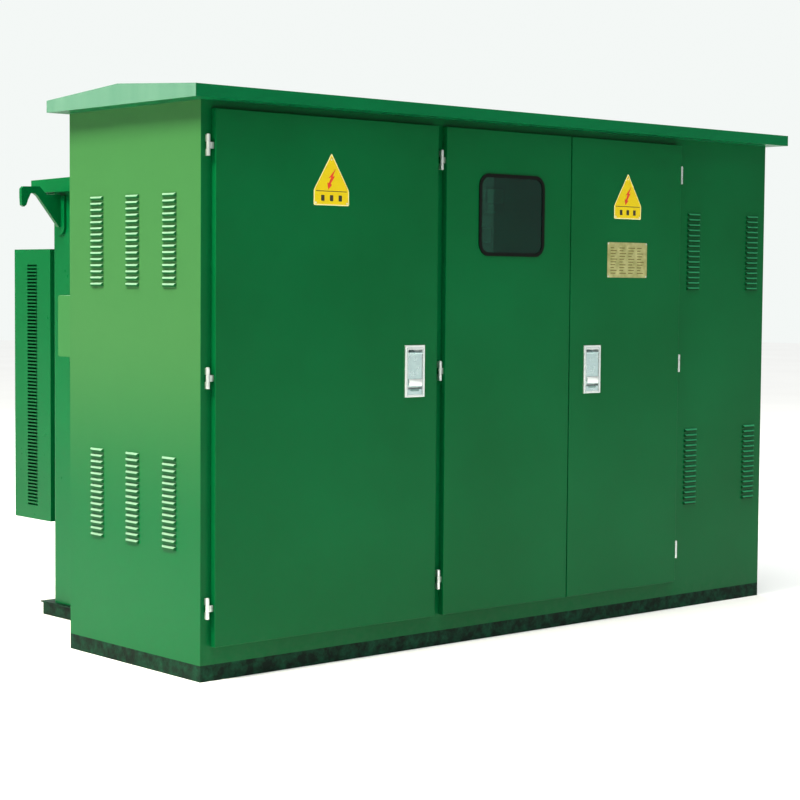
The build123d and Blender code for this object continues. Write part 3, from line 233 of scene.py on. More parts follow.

# ---------------------------------------------------------------- side panels
# The two ends of the cabinet are single sheets with louvres punched in two rows of three columns. Their
# coat is painted lighter and yellower than the doors' as painted light, and paler still towards the top as
# a painted reflection, while the foot keeps the plain colour. The louvre hoods carry a painted highlight
# on their tops and painted shade below.


def paint_light_by_height(coat_finish, thin_ink_and_lit_colour, plain_colour, lit_from, plain_below):
    """Paints light into a coat by height: the painted lit colour from one height up, the plain colour below
    the other, in metres.
    """
    tree = coat_finish.node_tree
    shader = tree.nodes["Principled BSDF"]
    film = shader.inputs["Base Color"].links[0].from_node
    place = add_node(tree, "TexCoord")
    height = add_node(tree, "SeparateXYZ", links={"Vector": (place, "Object")})
    # painted light: the upper part of the coat takes the lit colour, a painted reflection of bright
    # surroundings
    lit_share = add_node(
        tree,
        "MapRange",
        {"From Min": plain_below, "From Max": lit_from},
        {"Value": (height, "Z")},
        interpolation_type="SMOOTHSTEP",
    )
    painted_light = add_node(
        tree,
        "Mix",
        {6: linear(plain_colour), 7: linear(thin_ink_and_lit_colour)},
        {0: (lit_share, "Result")},
        data_type="RGBA",
    )
    film_with_painted_light = add_node(
        tree, "Mix", {0: 0.92}, {6: (film, 2), 7: (painted_light, 2)}, data_type="RGBA"
    )
    tree.links.new(film_with_painted_light.outputs[2], shader.inputs["Base Color"])
    return coat_finish


def paint_hood_light_and_shade(coat_finish, axis, middle, beyond, pale, shaded):
    """Paints light and shade on what stands proud in a coat, such as louvre hoods: a painted highlight on
    top and painted shade elsewhere.

    Proud is whatever lies further from the middle, along the axis, than beyond, in metres.
    """
    tree = coat_finish.node_tree
    shader = tree.nodes["Principled BSDF"]
    film = shader.inputs["Base Color"].links[0].from_node
    place = add_node(tree, "TexCoord")
    reach = add_node(tree, "SeparateXYZ", links={"Vector": (place, "Object")})
    offset = add_node(tree, "Math", {1: middle}, {0: (reach, axis)}, operation="SUBTRACT")
    distance = add_node(tree, "Math", links={0: (offset, "Value")}, operation="ABSOLUTE")
    proud = add_node(
        tree,
        "MapRange",
        {"From Min": beyond, "From Max": beyond + 0.001},
        {"Value": (distance, "Value")},
    )
    surface = add_node(tree, "NewGeometry")
    lean = add_node(tree, "SeparateXYZ", links={"Vector": (surface, "Normal")})
    # painted highlight where the surface faces up, painted shade on the rest of what stands proud
    upward = add_node(tree, "MapRange", {"From Min": 0.02, "From Max": 0.3}, {"Value": (lean, "Z")})
    painted_light_and_shade = add_node(
        tree,
        "Mix",
        {6: linear(shaded), 7: linear(pale)},
        {0: (upward, "Result")},
        data_type="RGBA",
    )
    marked = add_node(
        tree, "Mix", links={0: (proud, "Result"), 6: (film, 2), 7: (painted_light_and_shade, 2)}, data_type="RGBA"
    )
    tree.links.new(marked.outputs[2], shader.inputs["Base Color"])
    return coat_finish


SHEET_MIDDLE, SHEET_REACH = 0.0145, 1.3627
# the side coat is a lighter, yellower copy of the doors' green as painted light; its upper part is painted
# paler still as a painted reflection, and its hoods get a painted highlight and painted shade
lit_side_coat = powder_coat("side_coat_with_painted_light", "#0b5c2c", "#166a38", dust_top=0.09)
side_green_with_painted_light = paint_hood_light_and_shade(
    paint_light_by_height(lit_side_coat, "#386b3b", "#005a2e", 1.1, 0.42),
    "X",
    SHEET_MIDDLE,
    SHEET_REACH,
    "#7fa68c",
    "#0a4a24",
)
dress(side_green_with_painted_light, "left_side_panel", "right_side_panel")
FRONT_MIDDLE, FRONT_REACH = 0.0, 0.7662
# the front louvre hoods get a painted highlight on their tops and painted shade below
front_louvre_green = paint_hood_light_and_shade(
    powder_coat("front_louvre_powder_coat", "#005228", "#005b2f"),
    "Y",
    FRONT_MIDDLE,
    FRONT_REACH,
    "#2c8a5c",
    "#003516",
)
dress(front_louvre_green, "front_louvre_panel")

# ---------------------------------------------------------------- roof
# One welded tray of 2.5 mm sheet with a low double pitch. It has the cabinet's green coat; the two
# gable ends are painted pale as painted light, with faint streaks through the pale.
roof_green = powder_coat("roof_green_powder_coat", "#005c33", "#006639")
tree = roof_green.node_tree
shader = tree.nodes["Principled BSDF"]
coat = shader.inputs["Base Color"].links[0].from_node
place = add_node(tree, "TexCoord")
reach = add_node(tree, "SeparateXYZ", links={"Vector": (place, "Object")})
from_middle = add_node(tree, "Math", links={0: (reach, "X")}, operation="ABSOLUTE")
at_gable = add_node(
    tree,
    "MapRange",
    {"From Min": 1.4195, "From Max": 1.4205, "To Max": 0.92},
    {"Value": (from_middle, "Value")},
)
gable_streak_place = add_node(
    tree, "Mapping", {"Scale": (14.0, 14.0, 2.0)}, {"Vector": (place, "Object")}
)
gable_light_streaks = add_node(tree, "TexNoise", {"Scale": 1.0, "Detail": 6.0}, {"Vector": (gable_streak_place, "Vector")})
# painted light on the gable ends: a pale green, streaked by noise
painted_gable_light = add_node(
    tree,
    "Mix",
    {6: linear("#4b7665"), 7: linear("#648a7a")},
    {0: (gable_light_streaks, "Fac")},
    data_type="RGBA",
)
coat_with_painted_gable_light = add_node(
    tree,
    "Mix",
    links={0: (at_gable, "Result"), 6: (coat, 2), 7: (painted_gable_light, 2)},
    data_type="RGBA",
)
tree.links.new(coat_with_painted_gable_light.outputs[2], shader.inputs["Base Color"])
dress(roof_green, "roof")

# ---------------------------------------------------------------- plinth and skid
# Welded channel frames that carry the cabinet and the tank. They are brushed with thick bitumen-based
# green paint, so the colour is near black where it is heavy and mottled where the brush ran dry.
plinth_paint, tree, shader, place = start_finish(
    "brushed_bitumen_paint", Roughness=0.62, IOR=1.5, Specular_IOR_Level=0.12
)
blots = add_node(
    tree, "TexNoise", {"Scale": 22.0, "Detail": 9.0, "Roughness": 0.68}, {"Vector": (place, "Object")}
)
blot_range = add_node(
    tree, "MapRange", {"From Min": 0.42, "From Max": 0.66}, {"Value": (blots, "Fac")}
)
heavy = add_node(
    tree,
    "Mix",
    {6: linear("#00150c"), 7: linear("#08402a")},
    {0: (blot_range, "Result")},
    data_type="RGBA",
)
grit = add_node(
    tree, "TexNoise", {"Scale": 150.0, "Detail": 6.0, "Roughness": 0.7}, {"Vector": (place, "Object")}
)
grit_range = add_node(
    tree, "MapRange", {"From Min": 0.60, "From Max": 0.80}, {"Value": (grit, "Fac")}
)
gritty = add_node(
    tree,
    "Mix",
    {7: linear("#14452f")},
    {0: (grit_range, "Result"), 6: (heavy, 2)},
    data_type="RGBA",
)
tree.links.new(gritty.outputs[2], shader.inputs["Base Color"])
rough_bump = add_node(
    tree, "Bump", {"Strength": 0.5, "Distance": 0.003}, {"Height": (blots, "Fac")}
)
grit_bump = add_node(
    tree,
    "Bump",
    {"Strength": 0.35, "Distance": 0.001},
    {"Height": (grit, "Fac"), "Normal": (rough_bump, "Normal")},
)
tree.links.new(grit_bump.outputs["Normal"], shader.inputs["Normal"])
dress(plinth_paint, "base_frame", "tank_skid")

# ---------------------------------------------------------------- hinges, studs and rods
# Turned and pressed steel, electroplated with bright zinc: a cool pale metal with a soft sparkle from
# its fine crystals and duller patches where the passivation is thicker.


def plated(name, bright, dull, roughness, grain):
    """Plated or brushed metal with blotches of bright and dull; grain is the bump's scale per metre."""
    made, tree, shader, place = start_finish(name, Metallic=0.85)
    blotch = add_node(
        tree, "TexNoise", {"Scale": 34.0, "Detail": 5.0}, {"Vector": (place, "Object")}
    )
    tone = add_node(
        tree,
        "Mix",
        {6: linear(bright), 7: linear(dull)},
        {0: (blotch, "Fac")},
        data_type="RGBA",
    )
    tree.links.new(tone.outputs[2], shader.inputs["Base Color"])
    rough = add_node(
        tree,
        "MapRange",
        {"To Min": roughness - 0.08, "To Max": roughness + 0.10},
        {"Value": (blotch, "Fac")},
    )
    tree.links.new(rough.outputs["Result"], shader.inputs["Roughness"])
    fine = add_node(
        tree, "TexNoise", {"Scale": grain, "Detail": 3.0}, {"Vector": (place, "Object")}
    )
    bump = add_node(
        tree, "Bump", {"Strength": 0.12, "Distance": 0.0006}, {"Height": (fine, "Fac")}
    )
    tree.links.new(bump.outputs["Normal"], shader.inputs["Normal"])
    return made


bright_zinc = plated("bright_zinc_plate", "#eef4f2", "#b9c4c3", 0.36, 900.0)
dress(
    bright_zinc,
    "hinge_frame_leaves",
    "hinge_pins",
    "hv_door_hinges",
    "lv_left_door_hinges",
    "lv_right_door_hinges",
    "hv_latch_rod",
    "lv_latch_rod",
    "upper_flush_bolt",
    "lower_flush_bolt",
)

# ---------------------------------------------------------------- door seals and window
# Extruded EPDM rubber: a soft black with a faint grey bloom. The pane is 4 mm toughened glass with a
# green cast, held in the door by a black rubber channel.
rubber, tree, shader, place = start_finish("epdm_rubber", Roughness=0.6, Specular_IOR_Level=0.12)
bloom = add_node(tree, "TexNoise", {"Scale": 60.0, "Detail": 4.0}, {"Vector": (place, "Object")})
tone = add_node(
    tree,
    "Mix",
    {6: linear("#020403"), 7: linear("#070b08")},
    {0: (bloom, "Fac")},
    data_type="RGBA",
)
tree.links.new(tone.outputs[2], shader.inputs["Base Color"])
skin = add_node(tree, "TexNoise", {"Scale": 700.0, "Detail": 2.0}, {"Vector": (place, "Object")})
bump = add_node(tree, "Bump", {"Strength": 0.15, "Distance": 0.0005}, {"Height": (skin, "Fac")})
tree.links.new(bump.outputs["Normal"], shader.inputs["Normal"])
dress(rubber, "door_seals", "window_gasket")

pane_glass, tree, shader, place = start_finish(
    "toughened_glass", Roughness=0.03, IOR=1.52, Transmission_Weight=0.86, Specular_IOR_Level=0.2
)
film = add_node(tree, "TexNoise", {"Scale": 7.0, "Detail": 2.0}, {"Vector": (place, "Object")})
tone = add_node(
    tree,
    "Mix",
    {6: linear("#085241"), 7: linear("#10654f")},
    {0: (film, "Fac")},
    data_type="RGBA",
)
# a paler strip down the hinge side of the pane
PALE_STRIP_EDGE = -0.132
across = add_node(tree, "SeparateXYZ", links={"Vector": (place, "Object")})
pale_strip_share = add_node(
    tree,
    "MapRange",
    {"From Min": PALE_STRIP_EDGE, "From Max": PALE_STRIP_EDGE - 0.006, "To Max": 0.8},
    {"Value": (across, "X")},
)
tint_with_pale_strip = add_node(
    tree, "Mix", {7: linear("#3f8f76")}, {0: (pale_strip_share, "Result"), 6: (tone, 2)}, data_type="RGBA"
)
tree.links.new(tint_with_pale_strip.outputs[2], shader.inputs["Base Color"])
dress(pane_glass, "window_glass")

# ---------------------------------------------------------------- warning plates
# A pressed aluminium plate on each side's main door: a triangle standing on a short rectangle. It is
# stoved yellow with a pale rim, printed with a red flash and black blocks, and held by small rivets.
sign_enamel, tree, shader, place = start_finish(
    "yellow_enamel", Roughness=0.38, IOR=1.5, Specular_IOR_Level=0.3
)
tint = add_node(tree, "TexNoise", {"Scale": 14.0, "Detail": 3.0}, {"Vector": (place, "Object")})
tone = add_node(
    tree,
    "Mix",
    {6: linear("#d2b600"), 7: linear("#e0c60a")},
    {0: (tint, "Fac")},
    data_type="RGBA",
)
tree.links.new(tone.outputs[2], shader.inputs["Base Color"])


def printed(name, colour, thin_ink_and_lit_colour):
    """Screen-printed ink: flat and slightly chalky, a little thinner where the mesh left less."""
    made, tree, shader, place = start_finish(name, Roughness=0.5, IOR=1.48)
    mesh_mark = add_node(
        tree, "TexNoise", {"Scale": 320.0, "Detail": 2.0}, {"Vector": (place, "Object")}
    )
    tone = add_node(
        tree,
        "Mix",
        {6: linear(colour), 7: linear(thin_ink_and_lit_colour)},
        {0: (mesh_mark, "Fac")},
        data_type="RGBA",
    )
    tree.links.new(tone.outputs[2], shader.inputs["Base Color"])
    return made


rim_ink = printed("pale_rim_ink", "#f4ecb4", "#e9dc8c")
flash_ink = printed("red_flash_ink", "#c8220c", "#d9401c")
black_ink = printed("black_ink", "#1b1a10", "#322f1c")
DOOR_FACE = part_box("hv_warning_plate")[1].y
PLATE_THICK = 0.0012


def cut_plate(name, outline, back, thick, finish, rounding=0.0):
    """A flat plate facing the doors' side, cut to an outline of X and Z and standing on Y = back."""
    bpy.ops.object.select_all(action="DESELECT")
    bpy.ops.mesh.primitive_circle_add(vertices=len(outline), fill_type="NGON")
    plate = bpy.context.object
    plate.name = plate.data.name = name
    for vertex, (x, z) in zip(plate.data.vertices, outline):
        vertex.co = (x, back, z)
    bpy.ops.object.mode_set(mode="EDIT")
    bpy.ops.mesh.select_all(action="SELECT")
    if rounding:
        bpy.ops.mesh.bevel(offset=rounding, segments=5, affect="VERTICES")
    bpy.ops.mesh.extrude_region_move(TRANSFORM_OT_translate={"value": (0, -thick, 0)})
    bpy.ops.mesh.select_all(action="SELECT")
    bpy.ops.mesh.normals_make_consistent(inside=False)
    bpy.ops.object.mode_set(mode="OBJECT")
    plate.data.materials.append(finish)
    return plate


def rolled_edge(piece, width, segments=2):
    """Rounds the piece's sharp edges."""
    bevel = piece.modifiers.new("rolled_edge", "BEVEL")
    bevel.width = width
    bevel.segments = segments
    bevel.limit_method = "ANGLE"
    bpy.context.view_layer.objects.active = piece
    piece.select_set(True)
    bpy.ops.object.modifier_apply(modifier=bevel.name)
    bpy.ops.object.shade_smooth_by_angle(angle=math.radians(35))


def rivet(name, x, z, face, radius=0.0028):
    """Pop rivet's domed head."""
    bpy.ops.object.select_all(action="DESELECT")
    bpy.ops.mesh.primitive_uv_sphere_add(
        segments=16, ring_count=8, radius=radius, location=(x, face, z), rotation=(math.pi / 2, 0, 0)
    )
    head = bpy.context.object
    head.name = head.data.name = name
    bpy.ops.object.transform_apply(location=True, rotation=True, scale=True)
    bpy.ops.object.mode_set(mode="EDIT")
    bpy.ops.mesh.select_all(action="SELECT")
    bpy.ops.transform.resize(value=(1, 0.5, 1), center_override=(x, face, z))
    bpy.ops.mesh.bisect(
        plane_co=(x, face + 0.0002, z), plane_no=(0, 1, 0), clear_outer=True, use_fill=True
    )
    bpy.ops.object.mode_set(mode="OBJECT")
    bpy.ops.object.shade_smooth_by_angle(angle=math.radians(40))
    head.data.materials.append(bright_zinc)
    return head


def joined(name, pieces):
    """Joins the pieces into the first one."""
    bpy.ops.object.select_all(action="DESELECT")
    for piece in pieces:
        piece.select_set(True)
    bpy.context.view_layer.objects.active = pieces[0]
    bpy.ops.object.join()
    made = bpy.context.object
    made.name = made.data.name = name
    return made


def house_outline(x, foot, half, base, top):
    """The warning plate's shape: a rectangle with a triangle on it."""
    return [
        (x - half, foot),
        (x + half, foot),
        (x + half, foot + base),
        (x, foot + top),
        (x - half, foot + base),
    ]


def bars_outline(x0, x1, z0, z1):
    """A rectangle's four corners."""
    return [(x0, z0), (x1, z0), (x1, z1), (x0, z1)]


for side, body in (("hv", "hv_door_leaf"), ("lv", "lv_right_leaf")):
    node = side + "_warning_plate"
    low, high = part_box(node)
    x, foot = (low.x + high.x) / 2, low.z
    face = DOOR_FACE - PLATE_THICK
    rim = cut_plate(
        "rim", house_outline(x, foot, 0.0725, 0.048, 0.1655), DOOR_FACE, PLATE_THICK * 0.8, rim_ink, 0.005
    )
    field = cut_plate(
        "field",
        house_outline(x, foot + 0.0035, 0.0690, 0.0462, 0.1557),
        DOOR_FACE - PLATE_THICK * 0.8,
        PLATE_THICK * 0.2,
        sign_enamel,
        0.004,
    )
    line = cut_plate(
        "line", bars_outline(x - 0.064, x + 0.064, foot + 0.0440, foot + 0.0462), face, 0.0002, black_ink
    )
    blocks = [
        cut_plate(
            "block",
            bars_outline(x + step - 0.007, x + step + 0.007, foot + 0.014, foot + 0.033),
            face,
            0.0002,
            black_ink,
            0.002,
        )
        for step in (-0.036, 0.0, 0.036)
    ]
    flash = cut_plate(
        "flash",
        [
            (x + 0.017, foot + 0.117),
            (x - 0.013, foot + 0.086),
            (x - 0.002, foot + 0.089),
            (x - 0.012, foot + 0.070),
            (x - 0.018, foot + 0.073),
            (x - 0.014, foot + 0.050),
            (x + 0.002, foot + 0.066),
            (x - 0.004, foot + 0.068),
            (x + 0.014, foot + 0.094),
            (x + 0.004, foot + 0.092),
        ],
        face,
        0.0002,
        flash_ink,
    )
    heads = [
        rivet("head", x + dx, foot + dz, face)
        for dx, dz in ((-0.064, 0.008), (0.064, 0.008), (0.0, 0.146))
    ]
    sign = joined(side + "_warning_sign", [rim, field, line, *blocks, flash, *heads])
    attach(sign, body)
    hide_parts(node)

# ---------------------------------------------------------------- nameplate
# Etched and lacquered brass, 1.2 mm thick, with a raised frame and rows of etched fields. Its rows
# carry plain strokes only. Four rivets hold it under the right-hand warning plate.
etched_brass = plated("etched_brass", "#fdf9b8", "#86883a", 0.32, 9.0)
etched_ground = plated("etched_ground", "#8f8136", "#6f6428", 0.55, 2600.0)
low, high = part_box("nameplate")
x0, x1, z0, z1 = low.x, high.x, low.z, high.z
plate = cut_plate(
    "plate", bars_outline(x0, x1, z0, z1), DOOR_FACE, PLATE_THICK * 0.7, etched_brass, 0.004
)
face = DOOR_FACE - PLATE_THICK * 0.7
strips = [
    cut_plate("strip", bars_outline(*edge), face, PLATE_THICK * 0.3, etched_brass)
    for edge in (
        (x0 + 0.006, x1 - 0.006, z1 - 0.0085, z1 - 0.006),
        (x0 + 0.006, x1 - 0.006, z0 + 0.006, z0 + 0.0085),
        (x0 + 0.006, x0 + 0.0085, z0 + 0.0085, z1 - 0.0085),
        (x1 - 0.0085, x1 - 0.006, z0 + 0.0085, z1 - 0.0085),
    )
]
ROWS = 10
row_step = (z1 - z0 - 0.036) / (ROWS - 1)
strokes = []
for row in range(ROWS):
    z = z1 - 0.020 - row * row_step
    for column, start in enumerate((x0 + 0.016, x0 + 0.064, x0 + 0.112, x0 + 0.160)):
        length = 0.018 + 0.018 * ((row * 5 + column * 3) % 7) / 6
        outline = bars_outline(start, start + length, z - 0.0014, z + 0.0014)
        strokes.append(cut_plate("stroke", outline, face, 0.0002, etched_ground))
heads = [
    rivet("head", x, z, face, 0.0032)
    for x in (x0 + 0.0045, x1 - 0.0045)
    for z in (z0 + 0.0045, z1 - 0.0045)
]
rating_plate = joined("rating_plate", [plate, *strips, *strokes, *heads])
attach(rating_plate, "lv_right_leaf")
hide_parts("nameplate")

# ---------------------------------------------------------------- door locks
# Flush paddle locks, die-cast in zinc and plated in bright chrome. The dish sits in the door skin, the
# paddle fills it and lifts about its top edge, and the button under it frees the paddle. A moulded grip
# crosses the paddle's free end, its brighter chrome a painted highlight. A thin darker chrome line round
# the bezel is a painted shadow line, and the button's scoop is painted dark as shade.
bright_chrome = plated("bright_chrome", "#ffffff", "#eaf6f6", 0.30, 1500.0)
paddle_chrome = plated("satin_chrome", "#d6ecec", "#b8d4d6", 0.28, 1500.0)
# a darker chrome for painted shade: the shadow line round the bezel and the button's scoop
shade_painted_chrome = plated("painted_shade_chrome", "#8fb0ac", "#76958f", 0.34, 1500.0)
dress(bright_chrome, "hv_lock_case", "lv_lock_case")
dress(paddle_chrome, "hv_paddle", "hv_latch_button", "lv_paddle", "lv_latch_button")
for side, leaf in (("hv", "hv_door_leaf"), ("lv", "lv_right_leaf")):
    low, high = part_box(side + "_lock_case")
    x, top = (low.x + high.x) / 2, high.z
    # a thin dark line round the bezel: a painted shadow line
    shadow_lines = [
        cut_plate("shadow_line", bars_outline(*edge), low.y, 0.0004, shade_painted_chrome)
        for edge in (
            (x - 0.0345, x + 0.0345, top - 0.0100, top - 0.0090),
            (x - 0.0345, x + 0.0345, top - 0.1692, top - 0.1684),
            (x - 0.0355, x - 0.0345, top - 0.1692, top - 0.0090),
            (x + 0.0345, x + 0.0355, top - 0.1692, top - 0.0090),
        )
    ]
    bezel_shadow_line = joined(side + "_bezel_shadow_line", shadow_lines)
    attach(bezel_shadow_line, leaf)

    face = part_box(side + "_paddle")[0].y
    # the grip is a real lip; its brighter chrome than the paddle's is a painted highlight
    grip = cut_plate(
        side + "_paddle_grip",
        bars_outline(x - 0.029, x + 0.029, top - 0.1355, top - 0.1125),
        face + 0.0002,
        0.0016,
        bright_chrome,
        0.003,
    )
    rolled_edge(grip, 0.0007, 3)
    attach(grip, side + "_paddle_body")

    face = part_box(side + "_latch_button")[0].y
    # the button's scoop is painted dark as shade
    thumb = cut_plate(
        side + "_button_scoop",
        bars_outline(x - 0.018, x + 0.018, top - 0.1535, top - 0.1475),
        face + 0.0002,
        0.0006,
        shade_painted_chrome,
        0.0026,
    )
    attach(thumb, side + "_latch_button_body")

# ---------------------------------------------------------------- tank, lid, hooks and radiators
# Boiler plate welded into an oil-tight tank, with a bolted lid and pressed fins. It is coated in the
# same green as the cabinet but baked as one, so the film is a little lighter and glossier.
tank_green = powder_coat("tank_green_powder_coat", "#00572c", "#005f31", gloss=0.30)
dress(
    tank_green,
    "tank_shell",
    "tank_lid",
    "lifting_hooks",
    "radiator_guards",
)
dress(bright_zinc, "lid_bolts")
# the terminal box stands clear of the tank; its coat is a lighter green than the tank's as painted light,
# and its top carries a painted highlight
lit_box_coat = powder_coat("box_coat_with_painted_light", "#2e6a38", "#387340")
dress(paint_hood_light_and_shade(lit_box_coat, "X", 0.0, 1.0, "#c9e6d2", "#346e3c"), "terminal_box")

# ---------------------------------------------------------------- radiator banks
# Each fin is two pressed sheets of 1 mm steel, seam-welded round the edge and between four oil channels,
# which the pressing leaves as long soft ribs. Ten fins are welded to a pair of header pipes to make a
# bank, and the bank is flow-coated in the tank's green.
low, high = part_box("radiators")
FIN_PITCH = 0.045
FIN_HALF = 0.006
FIN_WEB = 0.0013
CHANNELS = 4
BANK_PITCH = 0.52
FINS = 10
_, tank_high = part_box("tank_shell")
fin_front, fin_back = 0.612, high.y
fin_foot, fin_top = low.z, high.z
middle_x = (low.x + high.x) / 2
bpy.ops.object.select_all(action="DESELECT")
bpy.ops.mesh.primitive_grid_add(x_subdivisions=36, y_subdivisions=24, size=1.0)
fin = bpy.context.object
fin.name = fin.data.name = "fin"
for vertex in fin.data.vertices:
    across, along = vertex.co.x + 0.5, vertex.co.y + 0.5
    along = 0.5 - 0.5 * math.cos(math.pi * along)
    rib = abs(math.sin(math.pi * CHANNELS * (0.03 + 0.94 * across) / 0.97))
    from_end = min(along, 1 - along) * (fin_top - fin_foot)
    fade = min(1.0, max(0.0, (from_end - 0.012) / 0.045))
    edge = min(across, 1 - across) * (fin_back - fin_front)
    if edge < 0.002 or from_end < 0.002:
        bulge = 0.0
    else:
        bulge = FIN_WEB + (FIN_HALF - FIN_WEB) * rib**0.6 * fade * fade * (3 - 2 * fade)
    vertex.co = (
        bulge,
        fin_front + across * (fin_back - fin_front),
        fin_foot + along * (fin_top - fin_foot),
    )
mirror = fin.modifiers.new("second_sheet", "MIRROR")
mirror.merge_threshold = 0.0002
bpy.ops.object.modifier_apply(modifier=mirror.name)
bpy.ops.object.mode_set(mode="EDIT")
bpy.ops.mesh.select_all(action="SELECT")
bpy.ops.mesh.normals_make_consistent(inside=False)
bpy.ops.object.mode_set(mode="OBJECT")
bpy.ops.object.shade_smooth()
fin.data.materials.append(tank_green)


def copy_at(piece, shift):
    """A copy of the piece with its own mesh, moved by shift."""
    twin = piece.copy()
    twin.data = piece.data.copy()
    twin.data.transform(Matrix.Translation(shift))
    bpy.context.scene.collection.objects.link(twin)
    return twin


def pipe(name, start, end, radius, finish, segments=28):
    """A round bar or pipe from start to end, its ends eased."""
    along = Vector(end) - Vector(start)
    bpy.ops.object.select_all(action="DESELECT")
    bpy.ops.mesh.primitive_cylinder_add(
        vertices=segments,
        radius=radius,
        depth=along.length,
        location=(Vector(start) + Vector(end)) / 2,
        rotation=along.to_track_quat("Z", "Y").to_euler(),
    )
    made = bpy.context.object
    made.name = made.data.name = name
    bpy.ops.object.transform_apply(location=True, rotation=True, scale=True)
    made.data.materials.append(finish)
    rolled_edge(made, min(0.003, radius * 0.2))
    return made


HEADER_R = 0.032
HEADER_Y = 0.648
for bank in range(4):
    bank_x = middle_x + (bank - 1.5) * BANK_PITCH
    parts = [
        copy_at(fin, (bank_x + (place_in - (FINS - 1) / 2) * FIN_PITCH, 0, 0)) for place_in in range(FINS)
    ]
    for z in (0.440, 1.250):
        half = FINS * FIN_PITCH / 2
        wall_y, flange_y = tank_high.y - 0.001, tank_high.y + 0.012
        for kind, start, end, radius in (
            ("header", (bank_x - half, HEADER_Y, z), (bank_x + half, HEADER_Y, z), HEADER_R),
            ("stub", (bank_x, wall_y, z), (bank_x, HEADER_Y, z), HEADER_R - 0.006),
            ("flange", (bank_x, flange_y - 0.008, z), (bank_x, flange_y + 0.008, z), 0.031),
        ):
            parts.append(pipe(kind, start, end, radius, tank_green))
    row = joined("radiator_bank_" + "abcd"[bank], parts)
    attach(row, "enclosure")
    if bank == 0:
        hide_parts("radiators")
bpy.data.objects.remove(fin)

# ---------------------------------------------------------------- core and windings
# Stacked silicon steel sheets clamped by painted channels, with aluminium foil windings in paper.
core_steel = plated("silicon_steel_edges", "#8d9093", "#5b5e62", 0.45, 2000.0)
dress(core_steel, "core")
clamp_primer = powder_coat("oilproof_primer", "#6b3a26", "#7c4630", gloss=0.5)
dress(clamp_primer, "core_clamps")
winding_paper = powder_coat("winding_paper", "#a4793f", "#b98d52", gloss=0.7)
dress(winding_paper, "lv_coils", "hv_coils")

# ---------------------------------------------------------------- compartments
# Hardware on the tank wall: moulded bushings, copper bars, fuse holders, switches, gauges and valves.
brown_epoxy = powder_coat("moulded_brown_epoxy", "#5b150c", "#6d1d12", gloss=0.22)
dress(brown_epoxy, "hv_bushings")
brown_glaze = powder_coat("brown_glazed_porcelain", "#4a1d0d", "#5d2813", gloss=0.12)
dress(brown_glaze, "lv_bushings")
bare_copper = plated("bare_copper", "#d98a5f", "#a9603b", 0.32, 800.0)
dress(bare_copper, "lv_busbars")
black_moulding = powder_coat("black_moulding", "#15171a", "#1e2124", gloss=0.42)
dress(black_moulding, "lv_breaker", "fuse_holders", "fuse_pull_a", "fuse_pull_b", "fuse_pull_c")
red_moulding = powder_coat("red_moulding", "#8f150d", "#a61d13", gloss=0.35)
dress(red_moulding, "breaker_toggle", "drain_handwheel")
dress(bright_zinc, "load_switch_handle", "tap_changer_knob")
cast_aluminium = plated("cast_aluminium", "#c9cdcd", "#9da2a2", 0.45, 600.0)
dress(cast_aluminium, "tank_gauges")
turned_brass = plated("turned_brass", "#d8bd6c", "#9f843c", 0.28, 900.0)
dress(turned_brass, "relief_valve", "drain_valve")
panel_grey = powder_coat("panel_grey_powder_coat", "#5d6a64", "#68756f", gloss=0.4)
dress(panel_grey, "instrument_panel")

# ---------------------------------------------------------------- panel meters
# Moving-iron meters in square black bezels, pushed through the instrument panel and clipped behind it.
# Each has a white scale plate with plain strokes, a red pointer and a black cover over its movement.
dial_white = printed("dial_white", "#e9ebe6", "#dcdfd9")
low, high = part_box("instrument_panel")
meter_face = low.y
METER = 0.096


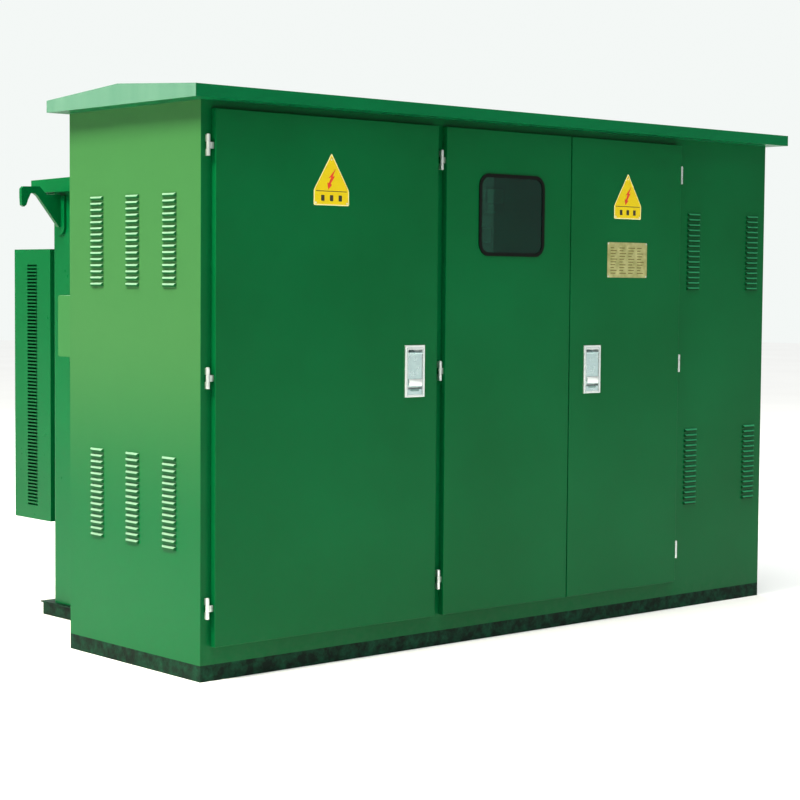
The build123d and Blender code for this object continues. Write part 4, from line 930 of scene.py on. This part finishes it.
def meter(name, x, z):
    """One square meter, its middle at x and z."""
    half = METER / 2
    outline = bars_outline(x - half, x + half, z - half, z + half)
    bezel = cut_plate("bezel", outline, meter_face, 0.005, black_moulding, 0.004)
    rolled_edge(bezel, 0.0015)
    face = meter_face - 0.005
    scale_plate = cut_plate(
        "scale", bars_outline(x - 0.039, x + 0.039, z - 0.012, z + 0.039), face, 0.0004, dial_white, 0.002
    )
    cover = cut_plate(
        "cover", bars_outline(x - 0.039, x + 0.039, z - 0.039, z - 0.013), face, 0.003, black_moulding, 0.003
    )
    marks = []
    for step in range(9):
        turn = math.radians(-48 + 12 * step)
        reach = 0.044 if step % 2 else 0.041
        foot_x, foot_z = x + reach * math.sin(turn), z - 0.016 + reach * math.cos(turn)
        tip_x, tip_z = x + 0.047 * math.sin(turn), z - 0.016 + 0.047 * math.cos(turn)
        side = Vector((math.cos(turn), -math.sin(turn))) * 0.0005
        marks.append(
            cut_plate(
                "mark",
                [
                    (foot_x - side.x, foot_z - side.y),
                    (foot_x + side.x, foot_z + side.y),
                    (tip_x + side.x, tip_z + side.y),
                    (tip_x - side.x, tip_z - side.y),
                ],
                face - 0.0004,
                0.0002,
                black_ink,
            )
        )
    pointer = cut_plate(
        "pointer",
        [(x - 0.0008, z - 0.014), (x + 0.0012, z - 0.014), (x - 0.026, z + 0.020)],
        face - 0.0006,
        0.0004,
        flash_ink,
    )
    made = joined(name, [bezel, scale_plate, cover, *marks, pointer])
    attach(made, "enclosure")


for number, (x, z) in enumerate(
    ((-0.165, 1.53), (-0.045, 1.53), (0.075, 1.53), (-0.105, 1.39), (0.015, 1.39))
):
    meter("panel_meter_" + "abcde"[number], x, z)

# ---------------------------------------------------------------- tank gauges
# A dial thermometer and an oil level gauge in cast aluminium cases. Each has a white enamelled dial
# with plain strokes under its rim, a black pointer and a red hand that holds the highest reading.
low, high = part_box("tank_gauges")
gauge_x, gauge_face = (low.x + high.x) / 2, low.y
for name, z, reading in (("dial_thermometer", 1.44, -35), ("oil_level_gauge", 1.25, 20)):
    dial = pipe(
        "dial", (gauge_x, gauge_face, z), (gauge_x, gauge_face - 0.0010, z), 0.043, dial_white, 48
    )
    strokes = []
    for step in range(13):
        turn = math.radians(-120 + 20 * step)
        inner = 0.033 if step % 3 == 0 else 0.036
        ray = Vector((math.sin(turn), math.cos(turn)))
        side = Vector((math.cos(turn), -math.sin(turn))) * 0.0007
        foot, tip = ray * inner, ray * 0.040
        corners = (foot - side, foot + side, tip + side, tip - side)
        strokes.append(
            cut_plate(
                "stroke", [(gauge_x + c.x, z + c.y) for c in corners], gauge_face - 0.001, 0.0003, black_ink
            )
        )
    for angle, ink, reach in ((reading, black_ink, 0.034), (reading + 24, flash_ink, 0.030)):
        turn = math.radians(angle)
        ray = Vector((math.sin(turn), math.cos(turn)))
        side = Vector((math.cos(turn), -math.sin(turn))) * 0.0014
        strokes.append(
            cut_plate(
                "hand",
                [(gauge_x + c.x, z + c.y) for c in (-ray * 0.008 - side, -ray * 0.008 + side, ray * reach)],
                gauge_face - 0.0013,
                0.0004,
                ink,
            )
        )
    hub = pipe(
        "hub", (gauge_x, gauge_face, z), (gauge_x, gauge_face - 0.003, z), 0.004, black_moulding, 20
    )
    made = joined(name, [dial, *strokes, hub])
    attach(made, "enclosure")
